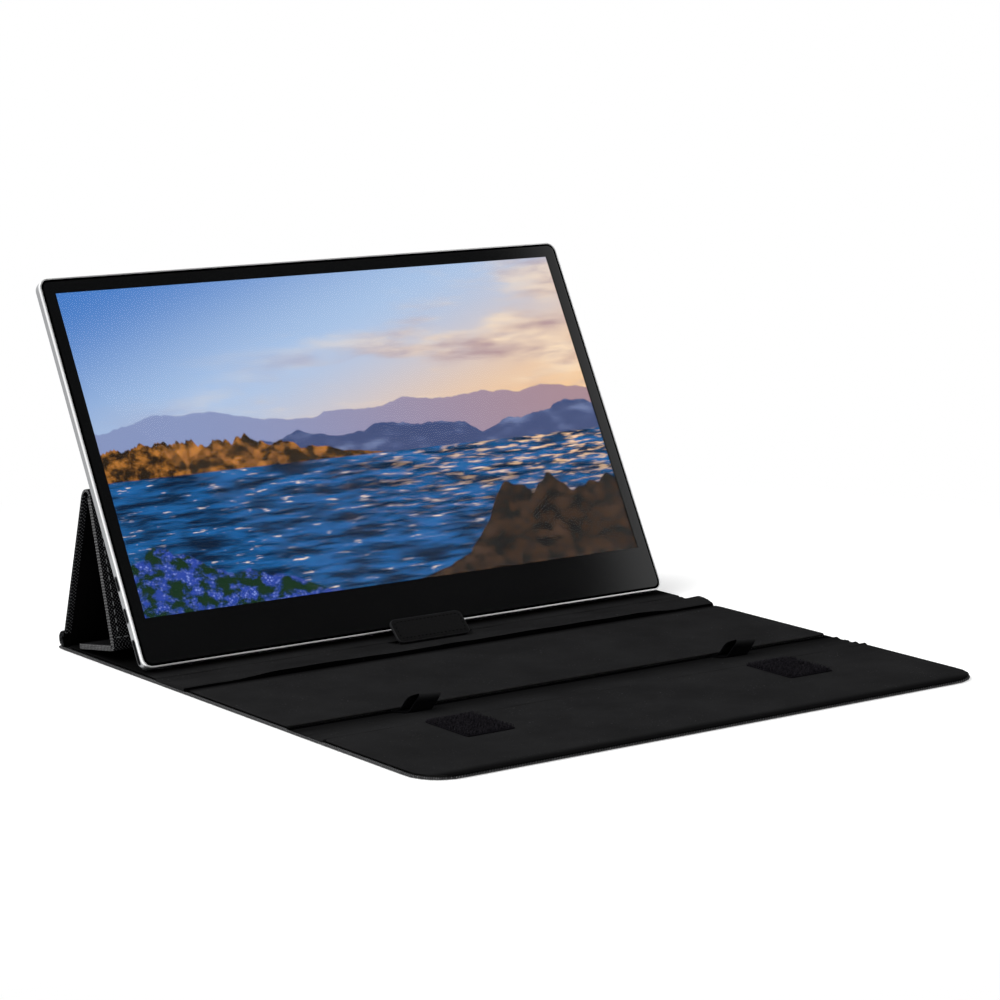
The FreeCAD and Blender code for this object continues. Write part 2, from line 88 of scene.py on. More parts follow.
# Most of a plate's height that the rounding of one face may take
FULLEST_ROUNDING = 0.45
SHARP_ANGLE = math.radians(50)
# Thread of a stitch: places along its length, each with a share of its radius
STITCH_TAPER = ((-0.5, 0.35), (-0.36, 0.9), (0.0, 1.0), (0.36, 0.9), (0.5, 0.35))
STITCH_SIDES = 6
FEWEST_STITCHES = 4
CORNER_STEPS = 12


def number_property(name, description, value, **more):
    return FloatProperty(name=name, description=description, default=value, **more)


def length_property(name, description, millimetres):
    return number_property(name, description, millimetres * MM, unit="LENGTH", precision=5)


def angle_property(name, description, degrees):
    return number_property(name, description, math.radians(degrees), subtype="ANGLE")


def colour_property(name, description, value):
    return FloatVectorProperty(
        name=name, description=description, default=value, subtype="COLOR", size=3, min=0.0, max=1.0
    )


# Settings
class CoverSizes(bpy.types.PropertyGroup):
    """Sizes of the cloth, board and thread of the cover"""

    skin_thickness: length_property("Skin", "Thickness of the woven outer cloth", 0.9)
    table_gap: length_property("Table gap", "Room for the thread between the skin and the table", 0.25)
    panel_thickness: length_property("Panel", "Height of the lining's face over the outer face", 3.0)
    board_top: length_property("Board top", "Height of the stiff board's upper face", 2.32)
    lining_inset: length_property("Lining inset", "How far the lining stands in from the skin's edge", 1.8)
    lining_lip: length_property("Lining lip", "Height at which the turned edge of the lining ends", 1.8)
    lining_corner: length_property("Lining corner", "Smallest corner radius of the linings", 2.2)
    lip_width: length_property("Lip width", "Width of the lining's turned edge", 1.8)
    hem_width: length_property("Hem width", "Width of the thick hem of the skins on the table", 1.6)
    hem_height: length_property("Hem height", "Height of that hem over the table", 1.35)
    fold_hem: length_property("Fold hem", "Width of the thick hem of the folds' cloth", 0.9)
    wrap_height: length_property("Wrap", "Height of the skin's turned edge on the stand", 2.95)
    wrap_width: length_property("Wrap width", "Width of the skin's turned edge on the stand", 3.2)
    fold_inset: length_property("Fold inset", "How far the folds' suede stands in from the edge", 1.0)
    fold_thickness: length_property("Fold", "Thickness of the soft folds", 1.6)
    bend_rear: length_property("Bend rear", "Where a fold starts to bend, behind its hinge line", 2.5)
    bend_front: length_property("Bend front", "Where a fold is fully turned, before its hinge line", 8.5)
    apex_radius: length_property("Apex radius", "Outer radius of the fold at the top of the stand", 5.0)
    foot_radius: length_property("Foot radius", "Outer radius of the fold at the stand's foot", 3.0)
    spine_radius: length_property("Spine radius", "Outer radius of the roll at the cover's spine", 4.8)
    spine_depth: length_property("Spine depth", "Thickness of the cloth rolled up at the spine", 3.6)
    leg_offset: length_property("Leg offset", "Outer face of the rear leg from the spine's axis", -0.4)
    front_corner: length_property("Front corner", "Corner radius of the front panel", 20.0)
    rear_corner: length_property("Rear corner", "Corner radius of the base and the flap", 4.0)
    puff: length_property("Puff", "Unevenness of the cloth faces", 0.14)
    stitch_inset: length_property("Stitch inset", "Distance of the seam from the skin's edge", 4.0)
    stitch_pitch: length_property("Stitch pitch", "Distance from stitch to stitch", 4.7)
    stitch_length: length_property("Stitch length", "Visible length of one stitch", 2.9)
    stitch_radius: length_property("Stitch radius", "Radius of the thread", 0.28)
    stitch_lift: length_property("Stitch lift", "Middle of the thread over the skin's outer face", 0.02)
    weave_pitch: length_property("Weave pitch", "Size of one diamond of the weave", 2.05)
    hem_pitch: number_property("Hem pitch", "Size of a hem's weave against the other cloth", 0.8)


class CoverColours(bpy.types.PropertyGroup):
    """Colours of the cover"""

    canvas_gap: colour_property("Canvas ground", "Between the raised threads", (0.002, 0.002, 0.0024))
    canvas_thread: colour_property("Canvas thread", "Raised threads of the weave", (0.155, 0.158, 0.165))
    hem_gap: colour_property("Hem ground", "Between the threads of the turned edge", (0.045, 0.045, 0.046))
    hem_thread: colour_property("Hem", "Turned edge of the woven cloth", (0.35, 0.35, 0.356))
    # Painted shade: a darker copy of the hem, for the front edge that faces away from the key light
    front_hem_gap: colour_property("Front hem ground", "Ground of the front edge", (0.034, 0.034, 0.035))
    front_hem_thread: colour_property("Front hem", "Turned edge at the front", (0.25, 0.25, 0.255))
    suede: colour_property("Suede", "Lining", (0.0145, 0.0145, 0.015))
    suede_fleck: colour_property("Suede fleck", "Pale specks in the nap", (0.06, 0.06, 0.062))
    inner_suede: colour_property("Inner suede", "Lining inside the stand", (0.0026, 0.0026, 0.0028))
    flap_suede: colour_property("Flap suede", "Lining of the flap", (0.0075, 0.0075, 0.008))
    # Painted shade: near-black colour standing for the shadow deep in the grooves
    crease: colour_property("Crease", "Depth of the grooves", (0.0007, 0.0007, 0.0008))
    thread: colour_property("Thread", "Stitches", (0.19, 0.195, 0.2))
    leather: colour_property("Leather", "Stop tab", (0.0042, 0.0042, 0.0045))
    ribbon: colour_property("Ribbon", "Pull loops", (0.0035, 0.0035, 0.004))
    # Painted highlight: lighter colour on the fold of the pull loops, where the light catches it
    ribbon_worn: colour_property("Rubbed ribbon", "Fold of the pull loops", (0.028, 0.028, 0.029))
    hook: colour_property("Hook pile", "Fastening patches", (0.0075, 0.0068, 0.0085))


class MonitorLook(bpy.types.PropertyGroup):
    """Sizes and colours of the monitor"""

    pivot_depth: length_property("Pivot depth", "Tilt axis behind the glass", 5.0)
    pivot_height: length_property("Pivot height", "Tilt axis over the lower edge", 2.5)
    offset: length_property("Offset", "Middle of the screen from the middle of the cover", -2.5)
    side_border: length_property("Side border", "Display cell beside the picture", 1.2)
    lower_border: length_property("Lower border", "Display cell below the picture", 3.6)
    glass_thickness: length_property("Glass", "Thickness of the front glass", 1.0)
    glass_corner: length_property("Glass corner", "Corner radius of the front glass", 4.95)
    glass_chamfer: length_property("Glass chamfer", "Width of the sloped edge of the glass", 1.2)
    glass_drop: length_property("Glass drop", "Height lost over the sloped edge", 0.1)
    # The line is painted shade: it stands for the dark gap between the glass and the rim
    glass_edge: length_property("Glass edge", "Width of the matte black line round the glass", 1.2)
    edge_break: length_property("Edge break", "Rounding of the metal edges", 0.22)
    silver: colour_property("Silver", "Rim round the glass", (0.9, 0.905, 0.91))
    # Painted shade: the rear shell is a darker copy of the rim's silver, for its shaded walls
    shell: colour_property("Shell", "Anodised rear shell", (0.35, 0.355, 0.365))
    border: colour_property("Border", "Printed border of the glass", (0.0034, 0.0036, 0.0039))
    brightness: number_property("Brightness", "Light of the picture", 1.0, min=0.0)


class PictureColours(bpy.types.PropertyGroup):
    """Colours of the lake view on the screen"""

    sky_blue: colour_property("Sky", "Upper left of the sky", (0.06, 0.2, 0.56))
    sky_pale: colour_property("Pale sky", "Middle of the sky", (0.4, 0.55, 0.79))
    sky_peach: colour_property("Evening sky", "Lower right of the sky", (0.9, 0.58, 0.32))
    cloud_light: colour_property("Lit cloud", "Sunlit side of the clouds", (0.96, 0.76, 0.55))
    cloud_shade: colour_property("Shaded cloud", "Under the clouds", (0.4, 0.25, 0.28))
    far_hills: colour_property("Far hills", "Hills in the haze", (0.24, 0.3, 0.52))
    near_hills: colour_property("Near hills", "Hills behind the shore", (0.05, 0.075, 0.19))
    leaf_dark: colour_property("Shade of trees", "Dark side of the trees", (0.02, 0.012, 0.006))
    leaf_warm: colour_property("Autumn leaves", "Lit side of the trees", (0.52, 0.2, 0.035))
    water_deep: colour_property("Deep water", "Troughs of the water", (0.003, 0.012, 0.035))
    water_blue: colour_property("Blue water", "Crests of the water", (0.012, 0.125, 0.37))
    glint: colour_property("Glint", "Light on the water", (0.85, 0.72, 0.58))
    rock: colour_property("Rock", "Boulders in front", (0.006, 0.005, 0.005))
    rock_lit: colour_property("Lit rock", "Boulders in the evening light", (0.075, 0.04, 0.022))
    leaf_green: colour_property("Leaves", "Stems and leaves under the blooms", (0.008, 0.03, 0.012))
    flower: colour_property("Flowers", "Blooms on the bank", (0.025, 0.06, 0.36))
    flower_lit: colour_property("Lit flowers", "Sunlit tops of the blooms", (0.24, 0.33, 0.72))


class StageLook(bpy.types.PropertyGroup):
    """Camera, floor and lamps"""

    camera_place: FloatVectorProperty(
        name="Camera", description="Where the camera stands", default=(-1.0297, -1.3995, 0.4005),
        subtype="XYZ", unit="LENGTH",
    )
    camera_turn: FloatVectorProperty(
        name="Camera turn", description="Rotation of the camera", subtype="EULER", unit="ROTATION",
        default=(math.radians(79.88), 0.0, math.radians(-36.33)),
    )
    lens: number_property("Lens", "Focal length in millimetres", 115.2, min=1.0)
    sensor: number_property("Sensor", "Width of the sensor in millimetres", 36.0, min=1.0)
    nearest: number_property("Nearest", "Where the camera starts to see", 0.05, unit="LENGTH")
    floor_size: number_property("Floor", "Side of the floor", 14.0, unit="LENGTH")
    floor: colour_property("Floor colour", "Pale floor", (0.86, 0.86, 0.86))
    floor_glow: number_property("Floor glow", "White that the camera adds to the floor", 0.3, min=0.0)
    shadow_reach: number_property("Shadow reach", "Where the floor starts to fade", 0.3, unit="LENGTH")
    sky_light: number_property("Sky light", "Even light from all round", 0.5, min=0.0)
    key_power: number_property("Key lamp", "Power of the key lamp", 40.0, unit="POWER")
    fill_power: number_property("Fill lamp", "Power of the other lamps", 22.0, unit="POWER")
    card_bright: number_property("Card", "Brightest part of the reflected card", 0.94, min=0.0)
    card_dark: number_property("Card ground", "Darkest part of the reflected card", 0.022, min=0.0)


# Where things are
def joint_spot(name):
    """Y and Z of a hinge line of the packed model"""
    for joint in frame["joints"]:
        if joint["name"] == name:
            return Vector((0.0, joint["pos_m"][1], joint["pos_m"][2]))
    raise ValueError("the model has no hinge " + name)


def turned(spot, angle):
    """Matrix from a panel drawn flat, outer face at zero, to where it stands"""
    return Matrix.Translation(spot) @ Matrix.Rotation(angle, 4, "X")


def flat_place(matrix):
    """Placing function of a flat panel: across, along and up become a point"""

    def place(across, along, up):
        return matrix @ Vector((across, along, up))

    return place


def ring_place(centre, radius, start):
    """Placing function of cloth bent round an X axis, outer face at the radius"""

    def place(across, along, up):
        bearing = start + along / radius
        reach = radius - up
        return centre + Vector((across, reach * math.cos(bearing), reach * math.sin(bearing)))

    return place


def stand_lines(sizes):
    """Angles and runs of the stand's legs, from the hinge lines of the packed model"""
    spine = joint_spot("rear_leg_fold")
    apex = joint_spot("front_leg_fold")
    foot = joint_spot("flap_fold")
    rear = apex - spine
    front = foot - apex
    rear_step = sizes.apex_radius - sizes.leg_offset
    front_step = sizes.apex_radius - sizes.foot_radius
    low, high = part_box("flap_skin")
    slope = math.atan2(high.z - low.z - sizes.skin_thickness, high.y - low.y)
    return SimpleNamespace(
        spine=spine, apex=apex, foot=foot,
        rear_lean=math.atan2(-rear.y, rear.z) - math.asin(rear_step / rear.length),
        rear_run=math.sqrt(rear.length_squared - rear_step * rear_step),
        front_lean=math.atan2(-front.y, -front.z) - math.asin(front_step / front.length),
        front_run=math.sqrt(front.length_squared - front_step * front_step),
        flap_slope=slope, flap_run=(high.y - low.y) / math.cos(slope),
    )


def cover_panels(sizes):
    """The six stiff panels, each with its body, place, extent and free edges"""
    panels = []
    for name, free, front_corner, rear_corner in (
        ("base", "sides rear", 0.0, sizes.rear_corner),
        ("middle", "sides", 0.0, 0.0),
        ("front", "sides front", sizes.front_corner, 0.0),
    ):
        low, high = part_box(name + "_skin")
        lined_from, lined_to = [corner.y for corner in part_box(name + "_lining")]
        panels.append(SimpleNamespace(
            name=name, body=name + "_panel", free=free, matrix=Matrix.Identity(4), half=high.x, start=low.y,
            end=high.y, lined_from=lined_from, lined_to=lined_to, lift=sizes.table_gap,
            front_corner=front_corner, rear_corner=rear_corner,
        ))
    stand = stand_lines(sizes)
    upright = math.radians(90)
    rear_out = Vector((0.0, math.cos(stand.rear_lean), math.sin(stand.rear_lean)))
    front_out = Vector((0.0, -math.cos(stand.front_lean), math.sin(stand.front_lean)))
    flap_down = Vector((0.0, -math.sin(stand.flap_slope), -math.cos(stand.flap_slope)))
    rear_place = turned(stand.spine + rear_out * sizes.leg_offset, upright + stand.rear_lean)
    front_place = turned(stand.apex + front_out * sizes.apex_radius, -upright - stand.front_lean)
    flap_place = turned(stand.foot + flap_down * sizes.foot_radius, -stand.flap_slope)
    rear_start = sizes.spine_radius + SPINE_GAP
    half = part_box("rear_leg_skin")[1].x
    for name, body, free, matrix, start, lined_from, end, rear_corner in (
        ("rear_leg", "rear_leg", "sides", rear_place, rear_start, -LINING_TUCK, stand.rear_run, 0.0),
        ("front_leg", "front_leg", "sides", front_place, LEG_GAP, LEG_GAP, stand.front_run, 0.0),
        ("flap", "foot_flap", "sides rear", flap_place, LEG_GAP, LEG_GAP, stand.flap_run, sizes.rear_corner),
    ):
        panels.append(SimpleNamespace(
            name=name, body=body, free=free, matrix=matrix, half=half, start=start, end=end,
            lined_from=lined_from, lined_to=end, lift=0.0, front_corner=0.0, rear_corner=rear_corner,
        ))
    return panels


def monitor_matrix(look):
    """From the upright monitor, with depth and height from its lower front edge, to where it leans"""
    normal = max(frame["nodes"]["lcd_cell"].data.polygons, key=lambda face: face.area).normal
    lean = math.atan2(abs(normal.z), abs(normal.y))
    shift = Matrix.Translation((look.offset, -look.pivot_depth, -look.pivot_height))
    return turned(joint_spot("monitor_tilt"), -lean) @ shift


def upright_box(node, matrix):
    """Lowest and highest corner of a node of the monitor, drawn upright"""
    back = matrix.inverted()
    spots = [back @ vertex.co for vertex in frame["nodes"][node].data.vertices]
    return [Vector([pick(spot[axis] for spot in spots) for axis in range(3)]) for pick in (min, max)]


# Meshes
def spaced_lines(low, high, edge, step, extra=()):
    """Grid lines, close together near both ends and even between them"""
    count = max(1, round((high - low - 2 * edge) / step))
    lines = [low + edge + (high - low - 2 * edge) * index / count for index in range(1, count)]
    lines += [low + share * edge for share in EDGE_SHARES]
    lines += [high - share * edge for share in EDGE_SHARES]
    lines += extra
    lines.sort()
    kept = [lines[0]]
    for line in lines[1:]:
        if line - kept[-1] > SAME_SPOT:
            kept.append(line)
    return kept


def inset_lines(low, high, insets):
    """Grid lines at some distances in from both ends"""
    return [low + inset for inset in insets] + [high - inset for inset in insets]


def round_corner(across, along, half, start, end, front_corner, rear_corner):
    """A grid point pulled on to the rounded corners, with its distances from the four sides"""
    sides = half - abs(across)
    front = along - start
    rear = end - along
    radius = front_corner if front < rear else rear_corner
    near = min(front, rear)
    if radius <= 0 or sides >= radius or near >= radius:
        return across, along, sides, front, rear
    a = 1 - sides / radius
    b = 1 - near / radius
    reach = max(a, b)
    pull = reach / math.hypot(a, b) if reach > 0 else 1.0
    across = math.copysign(half - radius + a * pull * radius, across)
    moved = (1 - b * pull) * radius
    along = start + moved if front < rear else end - moved
    rim = (1 - reach) * radius
    return across, along, rim, rim, rim


def edge_distance(panel, across, along):
    """Distance of a point from the free, rounded outline of a panel"""
    sides = panel.half - abs(across)
    front = along - panel.start if "front" in panel.free else math.inf
    rear = panel.end - along if "rear" in panel.free else math.inf
    corner = panel.front_corner if front < rear else panel.rear_corner
    near = min(front, rear)
    if sides < corner and near < corner:
        return corner - math.hypot(corner - sides, corner - near)
    return min(sides, near)


def rounding(distance, edge):
    """Height lost to a round edge at a distance from it"""
    if distance >= edge:
        return 0.0
    share = 1 - distance / edge
    return edge * (1 - math.sqrt(max(0.0, 1 - share * share)))


def plate_mesh(name, half, start, end, top, bottom, place, finishes, **shape):
    """Closed plate with soft edges and rounded corners; top and bottom give its heights"""
    edge = shape["edge"]
    rim = shape.get("rim", 0.5 * edge)
    free = shape.get("free", "sides front rear")
    paint = shape.get("paint")
    corners = (shape.get("front_corner", 0.0), shape.get("rear_corner", 0.0))
    extra_across = list(shape.get("extra_across", ()))
    if rim > edge:
        extra_across += inset_lines(-half, half, [rim])
    columns = spaced_lines(-half, half, edge, shape.get("step_across", shape["step"]), extra_across)
    rows = spaced_lines(start, end, edge, shape["step"], shape.get("extra_along", ()))
    build = bmesh.new()
    layer = build.loops.layers.uv.new("cloth")
    flat = {}
    grid = []
    for along in rows:
        line = []
        for across in columns:
            x, s, sides, front, rear = round_corner(across, along, half, start, end, *corners)
            edges = (("sides", sides), ("front", front), ("rear", rear))
            distance = min([2 * half] + [gap for side, gap in edges if side in free])
            high = top(x, s)
            low = bottom(x, s)
            drop = min(rounding(distance, edge), FULLEST_ROUNDING * (high - low))
            upper = build.verts.new(place(x, s, high - drop))
            lower = build.verts.new(place(x, s, low + drop))
            flat[upper] = (x, s)
            flat[lower] = (x, s)
            line.append((upper, lower, distance))
        grid.append(line)

    def add_face(spots, kind, middle, lower=()):
        """One face; the lower corners of a side wall are drawn past the edge of the flat cloth"""
        face = build.faces.new(spots)
        face.smooth = True
        face.material_index = paint(middle, kind) if paint else 0
        depth = (spots[0].co - spots[1].co).length if lower else 0.0
        for loop in face.loops:
            x, s = flat[loop.vert]
            loop[layer].uv = (x + depth, s + depth) if loop.vert in lower else (x, s)

    last_row = len(rows) - 1
    last_column = len(columns) - 1
    for i in range(last_row):
        for j in range(last_column):
            block = (grid[i][j], grid[i][j + 1], grid[i + 1][j + 1], grid[i + 1][j])
            middle = ((columns[j] + columns[j + 1]) / 2, (rows[i] + rows[i + 1]) / 2)
            at_rim = min(corner[2] for corner in block) < rim - SAME_SPOT
            add_face([corner[0] for corner in block], "rim" if at_rim else "top", middle)
            add_face([corner[1] for corner in reversed(block)], "rim" if at_rim else "bottom", middle)
    border = [(0, j) for j in range(last_column)] + [(i, last_column) for i in range(last_row)]
    border += [(last_row, j) for j in range(last_column, 0, -1)] + [(i, 0) for i in range(last_row, 0, -1)]
    for (i, j), (k, m) in zip(border, border[1:] + border[:1]):
        middle = ((columns[j] + columns[m]) / 2, (rows[i] + rows[k]) / 2)
        lower = (grid[i][j][1], grid[k][m][1])
        add_face([grid[i][j][0], *lower, grid[k][m][0]], "rim", middle, lower)
    bmesh.ops.recalc_face_normals(build, faces=build.faces)
    return finished_object(name, build, finishes)


def finished_object(name, build, finishes):
    """Object with the mesh that was built and its materials"""
    mesh = bpy.data.meshes.new(name)
    build.to_mesh(mesh)
    build.free()
    mesh.set_sharp_from_angle(angle=SHARP_ANGLE)
    for finish in finishes:
        mesh.materials.append(finish)
    made = bpy.data.objects.new(name, mesh)
    bpy.context.scene.collection.objects.link(made)
    return made


def rectangle(half_width, half_depth):
    """Flat face round the origin"""
    build = bmesh.new()
    corners = ((-1, -1), (1, -1), (1, 1), (-1, 1))
    build.faces.new([build.verts.new((x * half_width, y * half_depth, 0.0)) for x, y in corners])
    return build


def add_tube(build, rings, smooth):
    """Closed skin round rings of points"""
    made = [[build.verts.new(spot) for spot in ring] for ring in rings]
    for first, second in zip(made, made[1:]):
        for index in range(len(first)):
            after = (index + 1) % len(first)
            face = build.faces.new((first[index], first[after], second[after], second[index]))
            face.smooth = smooth
    build.faces.new(list(reversed(made[0])))
    build.faces.new(made[-1])


def add_stitch(build, place, spot, direction, up, length, radius):
    """One thread loop lying on a face: a short round bar with tapered ends"""
    rings = []
    for along, size in STITCH_TAPER:
        ring = []
        for index in range(STITCH_SIDES):
            turn = math.radians(360 / STITCH_SIDES * index)
            across = radius * size * math.cos(turn)
            x = spot.x + direction.x * along * length - direction.y * across
            s = spot.y + direction.y * along * length + direction.x * across
            ring.append(place(x, s, up + radius * size * math.sin(turn)))
        rings.append(ring)
    add_tube(build, rings, True)


def outline_spots(half, start, end, front_corner, rear_corner, pitch):
    """Evenly spaced spots along a rounded outline, each with its direction"""
    points = []
    for x, s, radius, turn in (
        (half - front_corner, start + front_corner, front_corner, -90),
        (half - rear_corner, end - rear_corner, rear_corner, 0),
        (-half + rear_corner, end - rear_corner, rear_corner, 90),
        (-half + front_corner, start + front_corner, front_corner, 180),
    ):
        for index in range(CORNER_STEPS + 1):
            bearing = math.radians(turn + 90 * index / CORNER_STEPS)
            points.append(Vector((x + radius * math.cos(bearing), s + radius * math.sin(bearing))))
    pairs = zip(points, points[1:] + points[:1])
    runs = [(first, second) for first, second in pairs if (second - first).length > SAME_SPOT]
    total = sum((second - first).length for first, second in runs)
    count = max(FEWEST_STITCHES, round(total / pitch))
    spots = []
    walked = 0.0
    for first, second in runs:
        length = (second - first).length
        while len(spots) < count and total * len(spots) / count <= walked + length:
            share = (total * len(spots) / count - walked) / length
            spots.append((first.lerp(second, share), (second - first).normalized()))
        walked += length
    return spots


def level(height):
    """Height function of an even face"""
    return lambda across, along: height


def lumpy(across, along, waves_across, waves_along, seed):
    """Smooth noise between about -1 and 1, with so many waves to a metre"""
    return noise.noise(Vector((across * waves_across, along * waves_along, seed)))


def rough(x, y, z):
    """Rough noise between about -1 and 1"""
    fineness = 1.0
    spacing = 2.0
    layers = 3
    return noise.fractal(Vector((x, y, z)), fineness, spacing, layers, noise_basis="PERLIN_ORIGINAL")


def uneven(sizes, across, along, seed):
    """Small unevenness of a cloth face, in metres"""
    waves_across = 14
    waves_along = 22
    return sizes.puff * rough(across * waves_across, along * waves_along, seed)


def bell(value, middle, width):
    """1 at the middle, falling off smoothly on both sides"""
    return math.exp(-(((value - middle) / width) ** 2))


def profile_height(points, along):
    """Height on a smooth profile through given points, each a distance and a height"""
    if along <= points[0][0]:
        return points[0][1]
    for (first, low), (second, high) in zip(points, points[1:]):
        if along <= second:
            share = (along - first) / (second - first)
            return low + (high - low) * share * share * (3 - 2 * share)
    return points[-1][1]


# Shaders
class Nodes:
    """The nodes of one shader tree, made by short calls that give back sockets"""

    def __init__(self, tree):
        self.tree = tree

    def set(self, inputs, values):
        """Plain values or links for the named inputs of a node"""
        for key, value in values.items():
            if isinstance(value, bpy.types.NodeSocket):
                self.tree.links.new(value, inputs[key])
            else:
                inputs[key].default_value = value

    def add(self, kind, inputs=None, **settings):
        made = self.tree.nodes.new("ShaderNode" + kind)
        for name, value in settings.items():
            setattr(made, name, value)
        self.set(made.inputs, inputs or {})
        return made.outputs

    def calc(self, operation, first, second=0.0):
        return self.add("Math", {0: first, 1: second}, operation=operation)[0]

    def plus(self, first, second):
        return self.calc("ADD", first, second)

    def minus(self, first, second):
        return self.calc("SUBTRACT", first, second)

    def times(self, first, second):
        return self.calc("MULTIPLY", first, second)

    def step(self, value, low, high):
        """0 below low and 1 above high, or the other way round where low is the larger"""
        inputs = {"Value": value, "From Min": min(low, high), "From Max": max(low, high)}
        inputs["To Min"] = 0.0 if low < high else 1.0
        inputs["To Max"] = 1.0 if low < high else 0.0
        return self.add("MapRange", inputs, interpolation_type="SMOOTHSTEP")["Result"]

    def spread(self, value, low, high):
        """Values from 0 to 1, moved evenly to the range from low to high"""
        return self.add("MapRange", {"Value": value, "To Min": low, "To Max": high})["Result"]

    def mix(self, share, *colours):
        """Two colours mixed, each a socket or three numbers"""
        first, second = [
            colour if isinstance(colour, bpy.types.NodeSocket) else (*colour, 1.0) for colour in colours
        ]
        return self.add("Mix", {0: share, 6: first, 7: second}, data_type="RGBA")[2]

    def mix_shaders(self, share, first, second):
        return self.add("MixShader", {0: share, 1: first, 2: second})[0]

    def noise(self, vector, scale, detail=3.0, roughness=0.55):
        inputs = {"Vector": vector, "Scale": scale, "Detail": detail, "Roughness": roughness}
        return self.add("TexNoise", inputs)[0]

    def stretch(self, vector, scale, shift=(0.0, 0.0, 0.0)):
        return self.add("Mapping", {"Vector": vector, "Scale": scale, "Location": shift})[0]

    def split(self, vector):
        return self.add("SeparateXYZ", {0: vector})

    def cloth(self):
        return self.add("UVMap", uv_map="cloth")[0]

    def object_space(self):
        return self.add("TexCoord")["Object"]

    def bump(self, height, distance):
        return self.add("Bump", {"Height": height, "Distance": distance, "Strength": 1.0})[0]

    def group(self, draw, vector, **numbers):
        return self.add("Group", {"Vector": vector, **numbers}, node_tree=shared_group(draw, numbers))

    def seen_directly(self):
        """1 for what the camera, a reflection or glass shows, 0 for light on the object"""
        path = self.add("LightPath")
        seen = self.calc("MAXIMUM", path["Is Camera Ray"], path["Is Glossy Ray"])
        return self.calc("MAXIMUM", seen, path["Is Transmission Ray"])


def shared_group(draw, numbers):
    """Node group from a vector and some numbers to the values that a function draws, built once"""
    name = draw.__name__.replace("_", " ").capitalize()
    if name in bpy.data.node_groups:
        return bpy.data.node_groups[name]
    tree = bpy.data.node_groups.new(name, "ShaderNodeTree")
    tree.interface.new_socket(name="Vector", in_out="INPUT", socket_type="NodeSocketVector")
    for label, value in numbers.items():
        socket = tree.interface.new_socket(name=label, in_out="INPUT", socket_type="NodeSocketFloat")
        socket.default_value = value
    given = tree.nodes.new("NodeGroupInput").outputs
    nodes = Nodes(tree)
    values = draw(nodes, given["Vector"], *[given[label] for label in numbers])
    for label in values:
        tree.interface.new_socket(name=label, in_out="OUTPUT", socket_type="NodeSocketFloat")
    nodes.set(tree.nodes.new("NodeGroupOutput").inputs, values)
    return tree


def canvas_weave(nodes, vector, pitch):
    """Diamond weave: raised threads as a mask and a height, from flat cloth coordinates"""
    turns = nodes.calc("DIVIDE", 2 * math.pi, pitch)
    wander = nodes.noise(vector, scale=260.0, detail=2.0, roughness=0.5)
    loose = nodes.times(nodes.minus(wander, 0.5), 2.2)
    split = nodes.split(vector)
    warp, weft = [
        nodes.calc("SINE", nodes.plus(nodes.times(split[side], turns), loose)) for side in ("X", "Y")
    ]
    crossing = nodes.times(warp, weft)
    fibre = nodes.noise(vector, scale=2600.0, detail=3.0, roughness=0.7)
    thread = nodes.times(nodes.step(crossing, 0.15, 0.75), nodes.step(fibre, 0.25, 0.7))
    return {"Thread": thread, "Height": nodes.plus(nodes.times(crossing, 0.5), 0.5), "Fibre": fibre}


def scaled(nodes, vector, scale):
    """A vector times a number"""
    return nodes.add("VectorMath", {0: vector, "Scale": scale}, operation="SCALE")[0]


def suede_nap(nodes, vector, scale):
    """Suede nap: broad mottling, pale flecks and a fine height"""
    spread = scaled(nodes, vector, scale)
    speck = nodes.noise(spread, scale=900.0, detail=1.0, roughness=0.5)
    patch = nodes.step(nodes.noise(spread, scale=60.0, detail=2.0, roughness=0.5), 0.42, 0.66)
    return {
        "Mottle": nodes.noise(spread, scale=24.0, detail=5.0, roughness=0.6),
        "Fleck": nodes.times(nodes.step(speck, 0.66, 0.78), patch),
        "Height": nodes.noise(spread, scale=2200.0, detail=4.0, roughness=0.7),
    }


def fine_grain(nodes, vector, scale):
    """Fine grain for metal, plastic and leather: a smudge, a speckle and a height"""
    spread = scaled(nodes, vector, scale)
    cells = nodes.add("TexVoronoi", {"Vector": spread, "Scale": 900.0}, feature="SMOOTH_F1")
    return {
        "Smudge": nodes.noise(spread, scale=18.0, detail=4.0, roughness=0.6),
        "Speckle": nodes.noise(spread, scale=1500.0, detail=2.0, roughness=0.6),
        "Height": cells["Distance"],
    }


def toned(colour, share):
    """A colour times a share, at most white"""
    return [min(1.0, share * value) for value in colour]


def new_finish(name):
    """Fresh material with its nodes and its surface shader"""
    finish = bpy.data.materials.new(name)
    finish.use_nodes = True
    return finish, Nodes(finish.node_tree), finish.node_tree.nodes["Principled BSDF"]


def canvas_finish(name, pitch, ground, thread, worn=None):
    """Coarse woven cloth with raised threads, and a painted highlight along a fold where its colour, line and
    reach are given
    """
    finish, nodes, shader = new_finish(name)
    weave = nodes.group(canvas_weave, nodes.cloth(), Pitch=pitch)
    base = nodes.mix(weave["Thread"], ground, thread)
    # Painted highlight: the colour lightens towards a line across the cloth, the fold where the light catches it
    if worn is not None:
        colour, line, reach = worn
        away = nodes.calc("ABSOLUTE", nodes.minus(nodes.split(nodes.cloth())["Y"], line))
        base = nodes.mix(nodes.step(away, reach, 0.1 * reach), base, colour)
    nodes.set(shader.inputs, {
        "Base Color": base,
        "Roughness": nodes.step(weave["Fibre"], 1.2, -0.2),
        "Specular IOR Level": 0.0,
        "Normal": nodes.bump(weave["Height"], 0.35 * MM),
    })
    return finish


